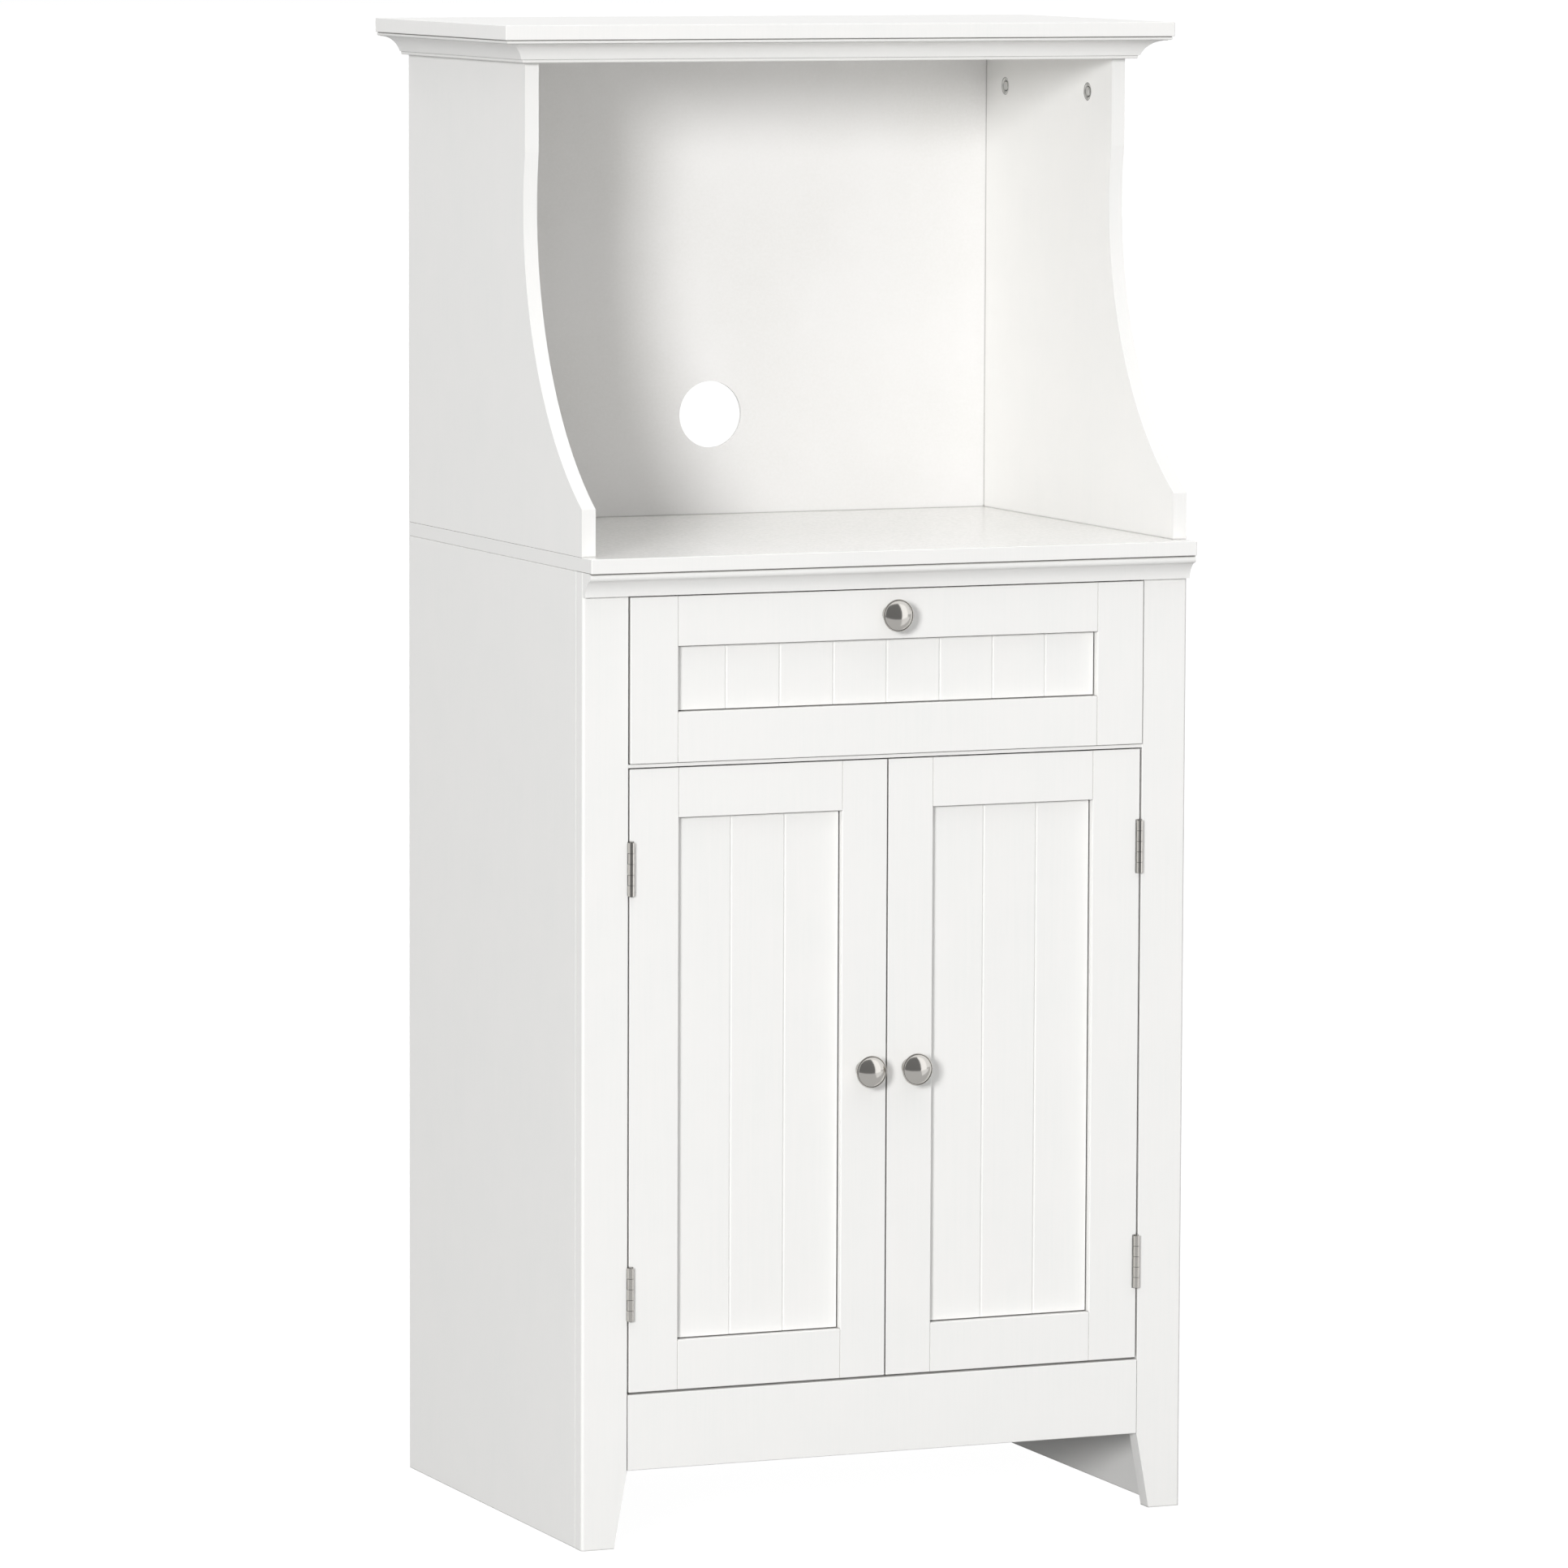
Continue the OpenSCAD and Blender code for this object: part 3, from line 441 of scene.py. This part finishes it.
def buffed_nickel(name):
    """Nickel plate buffed on a wheel: nearly a mirror, warm and softened by fine marks."""
    metal = bpy.context.scene.cabinet_metal
    material, tree = new_material(name)
    place = add(tree, "ShaderNodeTexCoord").outputs["Object"]
    # Buffing marks, drawn 0.6 mm apart, which is coarser than real ones, so that they show
    marks = add(tree, "ShaderNodeTexNoise", values={"Scale": 1 / (0.6 * MM), "Detail": 3.0},
                links={"Vector": place})
    gloss = add(tree, "ShaderNodeMapRange", values={
        "To Min": metal.buffing - 0.05, "To Max": metal.buffing + 0.06},
        links={"Value": marks.outputs[0]})
    ripple = add(tree, "ShaderNodeBump", values={"Strength": 0.05, "Distance": 0.02 * MM},
                 links={"Height": marks.outputs[0]})
    plate = add(tree, "ShaderNodeRGB")
    plate.outputs[0].default_value = metal.nickel
    # Painted shade darkens the nickel in the joints and recesses of the knobs, hinges and pins
    joined = shaded_joints(tree, plate.outputs[0], metal.recess_shade)
    shader = add(tree, "ShaderNodeBsdfPrincipled", values={"Metallic": 1.0}, links={
        "Base Color": joined, "Roughness": gloss.outputs[0], "Normal": ripple.outputs[0]})
    add(tree, "ShaderNodeOutputMaterial", links={"Surface": shader.outputs[0]})
    return material


def zinc_plate(name):
    """Bright zinc on pressed steel: cool grey, with faint patches of a duller gloss."""
    metal = bpy.context.scene.cabinet_metal
    material, tree = new_material(name)
    place = add(tree, "ShaderNodeTexCoord").outputs["Object"]
    # Crystals 3 mm wide, and a grain of 1.1 mm in the sheet under them
    crystals = add(tree, "ShaderNodeTexVoronoi", values={"Scale": 1 / (3 * MM)},
                   links={"Vector": place})
    gloss = add(tree, "ShaderNodeMapRange", values={"To Min": 0.26, "To Max": 0.42},
                links={"Value": crystals.outputs["Distance"]})
    grain = add(tree, "ShaderNodeTexNoise", values={"Scale": 1 / (1.1 * MM), "Detail": 2.0},
                links={"Vector": place})
    ripple = add(tree, "ShaderNodeBump", values={"Strength": 0.15, "Distance": 0.05 * MM},
                 links={"Height": grain.outputs[0]})
    shader = add(tree, "ShaderNodeBsdfPrincipled", values={
        "Metallic": 1.0, "Base Color": metal.zinc},
        links={"Roughness": gloss.outputs[0], "Normal": ripple.outputs[0]})
    add(tree, "ShaderNodeOutputMaterial", links={"Surface": shader.outputs[0]})
    return material


def cast_zinc(name):
    """Die-cast zinc alloy as it leaves the mould: pale grey with a slightly pitted skin."""
    metal = bpy.context.scene.cabinet_metal
    material, tree = new_material(name)
    place = add(tree, "ShaderNodeTexCoord").outputs["Object"]
    # Pits, drawn 0.8 mm wide, which is coarser than real ones, so that they show
    pits = add(tree, "ShaderNodeTexNoise", values={
        "Scale": 1 / (0.8 * MM), "Detail": 4.0, "Roughness": 0.6}, links={"Vector": place})
    gloss = add(tree, "ShaderNodeMapRange", values={"To Min": 0.22, "To Max": 0.4},
                links={"Value": pits.outputs[0]})
    ripple = add(tree, "ShaderNodeBump", values={"Strength": 0.3, "Distance": 0.06 * MM},
                 links={"Height": pits.outputs[0]})
    skin = add(tree, "ShaderNodeRGB")
    skin.outputs[0].default_value = metal.casting
    # Painted shade darkens the cam locks' rims, dished rings and cross recesses
    joined = shaded_joints(tree, skin.outputs[0], metal.recess_shade)
    shader = add(tree, "ShaderNodeBsdfPrincipled", values={"Metallic": 1.0}, links={
        "Base Color": joined, "Roughness": gloss.outputs[0], "Normal": ripple.outputs[0]})
    add(tree, "ShaderNodeOutputMaterial", links={"Surface": shader.outputs[0]})
    return material


def moulded_plastic(name):
    """Moulded plastic with an eroded grain: a soft gloss, a little greyer than the paint."""
    material, tree = new_material(name)
    place = add(tree, "ShaderNodeTexCoord").outputs["Object"]
    # Spark-eroded grain, drawn 0.7 mm wide, which is coarser than a real one, so that it shows
    grain = add(tree, "ShaderNodeTexNoise", values={"Scale": 1 / (0.7 * MM), "Detail": 3.0},
                links={"Vector": place})
    gloss = add(tree, "ShaderNodeMapRange", values={"To Min": 0.3, "To Max": 0.44},
                links={"Value": grain.outputs[0]})
    ripple = add(tree, "ShaderNodeBump", values={"Strength": 0.2, "Distance": 0.05 * MM},
                 links={"Height": grain.outputs[0]})
    shader = add(tree, "ShaderNodeBsdfPrincipled", values={
        "Base Color": bpy.context.scene.cabinet_fittings.plastic, "IOR": 1.5},
        links={"Roughness": gloss.outputs[0], "Normal": ripple.outputs[0]})
    add(tree, "ShaderNodeOutputMaterial", links={"Surface": shader.outputs[0]})
    return material


NICKEL = ("Nickel plate, buffed", buffed_nickel)
ZINC = ("Zinc plate on pressed steel", zinc_plate)
CASTING = ("Zinc alloy, die-cast", cast_zinc)


# ---------------------------------------------------------------- pieces

class CABINET_OT_boards(bpy.types.Operator):
    """Paints the boards, frames and mouldings, and coats the thin backs"""
    bl_idname = "cabinet.boards"
    bl_label = "Painted boards"

    def execute(self, context):
        wear(BOARDS, material_named("Satin paint, sprayed on fibreboard", satin_paint))
        wear(WORKTOP, material_named("Hard lacquer on fibreboard", worktop_lacquer))
        wear(BACKS, material_named("White-coated hardboard, screen-backed", coated_hardboard))
        return {"FINISHED"}


class CABINET_OT_plating(bpy.types.Operator):
    """Plates the hinges, shelf pins, runners and strike plates, and moulds the catches"""
    bl_idname = "cabinet.plating"
    bl_label = "Plated fittings"

    def execute(self, context):
        wear(HINGES + ["shelf_pins"], material_named(*NICKEL))
        wear(RUNNERS + STRIKES, material_named(*ZINC))
        wear(["magnet_catches"], material_named("White plastic, moulded", moulded_plastic))
        return {"FINISHED"}


class CABINET_OT_knobs(bpy.types.Operator):
    """Turns the three domed knobs, each with a bead round its dome, and their screws"""
    bl_idname = "cabinet.knobs"
    bl_label = "Knobs"

    def knob(self, radius, reach, hole):
        """A knob that stands on z = 0, with a blind hole of that depth for its screw"""
        shape = bpy.context.scene.cabinet_knob
        dome = shape.dome / 2
        neck = shape.neck / 2
        foot = 7 * MM
        hole_r = 2 * MM
        bead = (radius - dome) / 2
        bead_z = reach - shape.dome_rise - bead
        dome_r = (dome ** 2 + shape.dome_rise ** 2) / (2 * shape.dome_rise)
        dome_half = math.degrees(math.asin(dome / dome_r))
        # Down from the bottom of the hole and out to the edge of the foot
        profile = [(0, hole), (hole_r, hole), (hole_r, 0), (foot, 0), (foot, 0.7 * MM)]
        # Up the neck, which flares under the bead
        profile += flowing([
            (foot - 0.3 * MM, 1 * MM), (neck + 1.1 * MM, 2 * MM), (neck + 0.3 * MM, 3.8 * MM),
            (neck, 6 * MM), (neck + 0.4 * MM, 8.2 * MM), (neck + 1.8 * MM, 10.6 * MM),
            (neck + 4.6 * MM, 13 * MM), (radius - 1.6 * MM, bead_z - 1.3 * MM)])
        # Round the bead, through the groove inside it and over the dome
        profile += arc((radius - bead, bead_z), bead, -75, 130, 12)
        profile += [(dome + 0.05 * MM, bead_z + 0.25 * MM)]
        profile += arc((0, reach - dome_r), dome_r, 90 - dome_half, 90, 24)
        return lathe(profile, 96)

    def screw(self, low, high, seat):
        """A pan-head screw from behind, whose head sits on its seat and has a cross recess"""
        part = bmesh.new()
        shank_r = 1.9 * MM
        head_h = high.y - seat.y
        shank = bmesh.ops.create_cone(part, cap_ends=True, segments=32, radius1=shank_r,
                                      radius2=shank_r, depth=seat.y - low.y)["verts"]
        halfway = Vector((seat.x, (seat.y + low.y) / 2, seat.z))
        bmesh.ops.transform(part, matrix=facing(TO_BACK, halfway), verts=shank)
        head = cross_head((high.x - low.x) / 2, head_h, head_h * 0.7)
        join_into(part, head, facing(TO_BACK, seat, math.radians(30)))
        return part

    def execute(self, context):
        nickel = material_named(*NICKEL)
        zinc = material_named(*ZINC)
        pan_h = 2.4 * MM
        spare = 0.5 * MM                   # how far the hole runs on past the screw's end
        for name, body in KNOBS:
            low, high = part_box("knob_" + name)
            screw_low, screw_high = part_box("knob_screw_" + name)
            foot = Vector(((low.x + high.x) / 2, high.y, (low.z + high.z) / 2))
            hole = high.y - screw_low.y + spare
            turned = self.knob((high.x - low.x) / 2, high.y - low.y, hole)
            bmesh.ops.transform(turned, matrix=facing(TO_FRONT, foot), verts=turned.verts)
            finish_piece(turned, f"knob_{name}_turned", nickel, body,
                         ["knob_" + name], sharp=50)
            seat = Vector((foot.x, screw_high.y - pan_h, foot.z))
            screw = self.screw(screw_low, screw_high, seat)
            finish_piece(screw, f"knob_screw_{name}_pan", zinc, body,
                         ["knob_screw_" + name])
        return {"FINISHED"}


class CABINET_OT_cams(bpy.types.Operator):
    """Casts the four cam locks, with a rim, a dished ring and a cross recess"""
    bl_idname = "cabinet.cams"
    bl_label = "Cam locks"

    def execute(self, context):
        low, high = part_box("cam_locks")
        radius = (high.z - low.z) / 2
        face_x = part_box("hutch_side_right")[0].x
        # Depths below the face of the board
        depth = high.x - face_x
        rim = 0.1 * MM
        dish = 0.9 * MM
        seat = 1.5 * MM                    # where the boss stands
        boss_h = 1.3 * MM                  # over its seat
        cams = bmesh.new()
        for _, side in SIDES:
            for y in (low.y + radius, high.y - radius):
                disc = lathe([
                    (0, -depth), (radius, -depth), (radius, -0.5 * MM), (radius - 0.4 * MM, -rim),
                    (radius * 0.82, -rim), (radius * 0.76, -dish), (radius * 0.62, -dish),
                    (radius * 0.58, -seat), (0, -seat)], 48)
                boss = cross_head(radius * 0.56, boss_h, 1.1 * MM, 0.84)
                centre = Vector((side * face_x, y, (low.z + high.z) / 2))
                inward = Vector((-side, 0, 0))
                join_into(cams, disc, facing(inward, centre))
                join_into(cams, boss, facing(inward, centre - inward * seat, math.radians(20)))
        finish_piece(cams, "cam_locks_cast", material_named(*CASTING), "cabinet",
                     ["cam_locks"])
        return {"FINISHED"}


class CABINET_OT_screws(bpy.types.Operator):
    """Drives the screws of the hinges, runners, catches and strike plates"""
    bl_idname = "cabinet.screws"
    bl_label = "Screws"

    def heads(self, name, material, body, slot, places, height=0.35 * MM):
        """One piece with a screw head at each (place, direction)"""
        radius = bpy.context.scene.cabinet_fittings.screw_head / 2
        bm = bmesh.new()
        for i, (place, direction) in enumerate(places):
            head = cross_head(radius, height, height * 0.85)
            # No two driven screws stop at the same angle
            join_into(bm, head, facing(direction, place, math.radians(17 + 41 * i)))
        finish_piece(bm, name, material, body)

    def execute(self, context):
        nickel = material_named(*NICKEL)
        zinc = material_named(*ZINC)
        pin_low, pin_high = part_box("hinge_pins")
        screw_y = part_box("hinge_leaves_frame_right")[1].y - 5.5 * MM
        hinge_zs = [pin_low.z + PIN_END, pin_high.z - PIN_END - HINGE_H]
        leaf_x = {"frame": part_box("leg_right")[0].x - LEAF_T / 2,
                  "door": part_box("door_right_hinge_stile")[1].x}
        for name, side in SIDES:
            for owner, towards, body in (("frame", -1, "cabinet"), ("door", 1, "door_" + name)):
                places = [
                    (Vector((side * leaf_x[owner], screw_y, z + HINGE_H * part)),
                     Vector((side * towards, 0, 0)))
                    for z in hinge_zs for part in (0.2, 0.8)]
                self.heads(f"hinge_screws_{owner}_{name}", nickel, body, "satin_nickel", places)
            low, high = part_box("runner_channel_" + name)
            web = max(abs(low.x), abs(high.x)) - CHANNEL_T
            places = [(Vector((side * web, low.y + part * (high.y - low.y), (low.z + high.z) / 2)),
                       Vector((-side, 0, 0))) for part in (0.1, 0.5, 0.9)]
            self.heads(f"runner_screws_{name}", zinc, "cabinet", "zinc_steel", places)
            low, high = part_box("strike_plate_" + name)
            self.heads(f"strike_screw_{name}", zinc, "door_" + name, "zinc_steel", [
                (Vector(((low.x + high.x) / 2, high.y, (low.z + high.z) / 2)), TO_BACK)], 0.2 * MM)
        low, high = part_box("magnet_catches")
        ear = 5 * MM                       # from the end of a catch to its screw
        places = [
            (Vector((side * (high.x - along), (low.y + high.y) / 2, low.z)), DOWN)
            for _, side in SIDES for along in (ear, CATCH_W - ear)]
        self.heads("catch_screws", zinc, "cabinet", "zinc_steel", places, 0.8 * MM)
        return {"FINISHED"}


class CABINET_OT_catches(bpy.types.Operator):
    """Sets two steel pole plates into the front of each magnetic catch"""
    bl_idname = "cabinet.catches"
    bl_label = "Catch plates"

    def execute(self, context):
        low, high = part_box("magnet_catches")
        middle = (low.z + high.z) / 2
        apart = 2.6 * MM                   # from the middle of the catch to each plate
        size = Vector((18 * MM, 4 * MM, 1.4 * MM))
        proud = 0.25 * MM
        plates = bmesh.new()
        for _, side in SIDES:
            for z in (middle - apart, middle + apart):
                plate = bmesh.new()
                bmesh.ops.create_cube(plate, size=1)
                bmesh.ops.scale(plate, verts=plate.verts, vec=size)
                bmesh.ops.bevel(plate, geom=plate.edges, offset=0.2 * MM, segments=2, profile=0.5,
                                affect="EDGES", material=-1)
                place = Vector((side * (high.x - CATCH_W / 2), low.y + size.y / 2 - proud, z))
                join_into(plates, plate, Matrix.Translation(place))
        finish_piece(plates, "catch_pole_plates", material_named(*ZINC), "cabinet")
        return {"FINISHED"}


class CABINET_OT_nails(bpy.types.Operator):
    """Nails the lower edge of the back to the bottom panel"""
    bl_idname = "cabinet.nails"
    bl_label = "Nails"

    def execute(self, context):
        fittings = context.scene.cabinet_fittings
        low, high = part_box("base_back")
        bottom_low, bottom_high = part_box("base_bottom")
        inset = 0.06                       # of the back's width, from its edge to the first nail
        radius = fittings.nail_head / 2
        nails = bmesh.new()
        for i in range(fittings.nails):
            share = inset + (1 - 2 * inset) * i / (fittings.nails - 1)
            x = low.x + (high.x - low.x) * share
            head = lathe([(0, 0), (radius, 0), (radius, 0.3 * MM), (radius * 0.8, 0.55 * MM),
                          (radius * 0.4, 0.62 * MM), (0, 0.64 * MM)], 20)
            place = Vector((x, high.y, (bottom_low.z + bottom_high.z) / 2))
            join_into(nails, head, facing(TO_BACK, place))
        finish_piece(nails, "back_nails", material_named(*ZINC), "cabinet")
        return {"FINISHED"}


# ---------------------------------------------------------------- stage

class CABINET_OT_stage(bpy.types.Operator):
    """Lays the pale floor and sets the lamps, the reflected cards, the sky and the camera"""
    bl_idname = "cabinet.stage"
    bl_label = "Stage"

    def seen_or_lit(self, tree):
        """1 for camera, mirrored and transmitted rays, and 0 for rays that carry light"""
        path = add(tree, "ShaderNodeLightPath")
        direct = add(tree, "ShaderNodeMath", {"operation": "MAXIMUM"}, links={
            0: path.outputs["Is Camera Ray"], 1: path.outputs["Is Glossy Ray"]})
        seen = add(tree, "ShaderNodeMath", {"operation": "MAXIMUM"}, links={
            0: direct.outputs[0], 1: path.outputs["Is Transmission Ray"]})
        return seen.outputs[0]

    def floor(self):
        """A white floor that shows as the background does, darkened only by the shadow"""
        material, tree = new_material("Floor, painted white")
        # It throws the light of a mid-grey floor up at the cabinet
        lit = add(tree, "ShaderNodeBsdfDiffuse", values={"Color": (0.4, 0.4, 0.4, 1)})
        # What shows is nearly all glow, so that it meets the background, and a little shading
        shadowed = add(tree, "ShaderNodeBsdfDiffuse", values={"Color": (0.1, 0.1, 0.1, 1)})
        # Reflections show a duller floor than the camera sees, so that the knobs are darker below
        mirrored = add(tree, "ShaderNodeLightPath")
        bright = add(tree, "ShaderNodeMath", {"operation": "MULTIPLY_ADD"}, values={1: -0.5, 2: 0.98},
                     links={0: mirrored.outputs["Is Glossy Ray"]})
        glow = add(tree, "ShaderNodeEmission", links={"Strength": bright.outputs[0]})
        shown = add(tree, "ShaderNodeAddShader", links={0: shadowed.outputs[0], 1: glow.outputs[0]})
        surface = add(tree, "ShaderNodeMixShader", links={
            0: self.seen_or_lit(tree), 1: lit.outputs[0], 2: shown.outputs[0]})
        add(tree, "ShaderNodeOutputMaterial", links={"Surface": surface.outputs[0]})
        bm = bmesh.new()
        bmesh.ops.create_grid(bm, x_segments=1, y_segments=1, size=60)
        self.stage_piece(bm, "floor", material)

    def card(self, name, strength, corners):
        """A card that shows only in reflections"""
        material, tree = new_material("Card, " + name)
        glow = add(tree, "ShaderNodeEmission", values={"Strength": strength})
        add(tree, "ShaderNodeOutputMaterial", links={"Surface": glow.outputs[0]})
        bm = bmesh.new()
        bm.faces.new([bm.verts.new(corner) for corner in corners])
        card = self.stage_piece(bm, "card_" + name, material)
        card.visible_camera = False
        card.visible_diffuse = False
        card.visible_transmission = False
        card.visible_shadow = False

    def stage_piece(self, bm, name, material):
        """An object that isn't part of the cabinet"""
        mesh = bpy.data.meshes.new(name)
        bm.to_mesh(mesh)
        bm.free()
        mesh.materials.append(material)
        piece = bpy.data.objects.new(name, mesh)
        bpy.context.scene.collection.objects.link(piece)
        return piece

    def lamp(self, name, power, turn, rise, size, distance):
        """A soft round lamp, turned left of the front and raised over the horizon"""
        aim = Vector((0, 0, 0.7))          # just over half the cabinet's height
        data = bpy.data.lights.new(name, "AREA")
        data.shape = "DISK"
        data.size = size
        data.energy = power
        lamp = bpy.data.objects.new(name, data)
        towards = Vector((-math.sin(turn) * math.cos(rise), -math.cos(turn) * math.cos(rise),
                          math.sin(rise)))
        lamp.location = aim + distance * towards
        lamp.rotation_euler = towards.to_track_quat("Z", "Y").to_euler()
        lamp.visible_glossy = False
        bpy.context.scene.collection.objects.link(lamp)

    def sky(self, stage):
        """A white background, and a light for the cabinet that is brightest overhead"""
        world = bpy.data.worlds.new("Studio")
        world.use_nodes = True
        tree = world.node_tree
        tree.nodes.clear()
        aim = add(tree, "ShaderNodeTexCoord").outputs["Generated"]
        height = add(tree, "ShaderNodeSeparateXYZ", links={"Vector": aim}).outputs["Z"]
        # The light grows with the square of the height over the horizon, from a faint glow
        faint = 0.08
        upper = add(tree, "ShaderNodeMath", {"operation": "MAXIMUM"}, values={1: 0.0},
                    links={0: height})
        lobe = add(tree, "ShaderNodeMath", {"operation": "POWER"}, values={1: 2.0},
                   links={0: upper.outputs[0]})
        strength = add(tree, "ShaderNodeMath", {"operation": "MULTIPLY_ADD"},
                       values={1: stage.sky, 2: faint}, links={0: lobe.outputs[0]})
        light = add(tree, "ShaderNodeBackground", values={"Color": (1, 1, 1, 1)},
                    links={"Strength": strength.outputs[0]})
        shown = add(tree, "ShaderNodeBackground", values={"Color": (1, 1, 1, 1), "Strength": 1.0})
        both = add(tree, "ShaderNodeMixShader", links={
            0: self.seen_or_lit(tree), 1: light.outputs[0], 2: shown.outputs[0]})
        add(tree, "ShaderNodeOutputWorld", links={"Surface": both.outputs[0]})
        bpy.context.scene.world = world

    def camera(self, stage):
        """The camera at the front left, a little higher than the cabinet"""
        yaw, pitch, roll = stage.yaw, stage.pitch, stage.roll
        ahead = Vector((math.sin(yaw) * math.cos(pitch), math.cos(yaw) * math.cos(pitch),
                        math.sin(pitch)))
        level = Vector((math.cos(yaw), -math.sin(yaw), 0))
        upward = level.cross(ahead)
        right = math.cos(roll) * level + math.sin(roll) * upward
        up = math.cos(roll) * upward - math.sin(roll) * level
        data = bpy.data.cameras.new("camera")
        data.sensor_width = 36
        data.sensor_fit = "HORIZONTAL"
        data.lens = stage.lens
        data.clip_end = 200
        camera = bpy.data.objects.new("camera", data)
        turned = Matrix((right, up, -ahead)).transposed().to_4x4()
        camera.matrix_world = Matrix.Translation(stage.camera_place) @ turned
        bpy.context.scene.collection.objects.link(camera)
        bpy.context.scene.camera = camera

    def execute(self, context):
        stage = context.scene.cabinet_stage
        self.floor()
        # Two upright cards before the cabinet, which meet at 1 m, and one that lies just over the
        # floor, from the foot of the bright one towards the cabinet
        left, meet, right = -4, 1, 4
        before, top = -2, 4
        self.card("dark", 0.19, [
            (left, before, 0), (meet, before, 0), (meet, before, top), (left, before, top)])
        self.card("bright", 1.3, [
            (meet, before, 0), (right, before, 0), (right, before, top), (meet, before, top)])
        near, lying = -0.6, 0.01
        self.card("low", 0.95, [
            (0.4, near, lying), (meet, before, lying), (right, before, lying), (right, near, lying)])
        # The key lamp is so far off that it lights the front evenly
        self.lamp("key", stage.key_power, stage.key_turn, stage.key_rise, size=2.5, distance=12)
        self.lamp("fill", stage.fill_power, math.radians(15), math.radians(9), size=3, distance=5)
        self.sky(stage)
        self.camera(stage)
        context.scene.view_settings.view_transform = "Standard"
        return {"FINISHED"}


# ---------------------------------------------------------------- add-on

GROUPS = {
    "cabinet_paint": CabinetPaint,
    "cabinet_metal": CabinetMetal,
    "cabinet_knob": CabinetKnob,
    "cabinet_fittings": CabinetFittings,
    "cabinet_stage": CabinetStage,
}
OPERATORS = [
    CABINET_OT_boards, CABINET_OT_plating, CABINET_OT_knobs, CABINET_OT_cams, CABINET_OT_screws,
    CABINET_OT_catches, CABINET_OT_nails, CABINET_OT_stage,
]


class CABINET_PT_looks(bpy.types.Panel):
    """Settings and pieces of the cabinet"""
    bl_idname = "CABINET_PT_looks"
    bl_label = "Cabinet"
    bl_space_type = "VIEW_3D"
    bl_region_type = "UI"
    bl_category = "Cabinet"

    def draw(self, context):
        for name, group in GROUPS.items():
            box = self.layout.box()
            for setting in group.__annotations__:
                box.prop(getattr(context.scene, name), setting)
        for operator in OPERATORS:
            self.layout.operator(operator.bl_idname)


def register():
    """Adds the settings, the operators and the panel."""
    for name, group in GROUPS.items():
        bpy.utils.register_class(group)
        setattr(bpy.types.Scene, name, PointerProperty(type=group))
    for kind in OPERATORS + [CABINET_PT_looks]:
        bpy.utils.register_class(kind)


def unregister():
    """Takes the panel, the operators and the settings away again."""
    for kind in reversed(OPERATORS + [CABINET_PT_looks]):
        bpy.utils.unregister_class(kind)
    for name, group in GROUPS.items():
        delattr(bpy.types.Scene, name)
        bpy.utils.unregister_class(group)


def main():
    """Makes every piece."""
    register()
    bpy.ops.cabinet.boards()
    bpy.ops.cabinet.plating()
    bpy.ops.cabinet.knobs()
    bpy.ops.cabinet.cams()
    bpy.ops.cabinet.screws()
    bpy.ops.cabinet.catches()
    bpy.ops.cabinet.nails()
    bpy.ops.cabinet.stage()


if __name__ == "__main__":
    main()
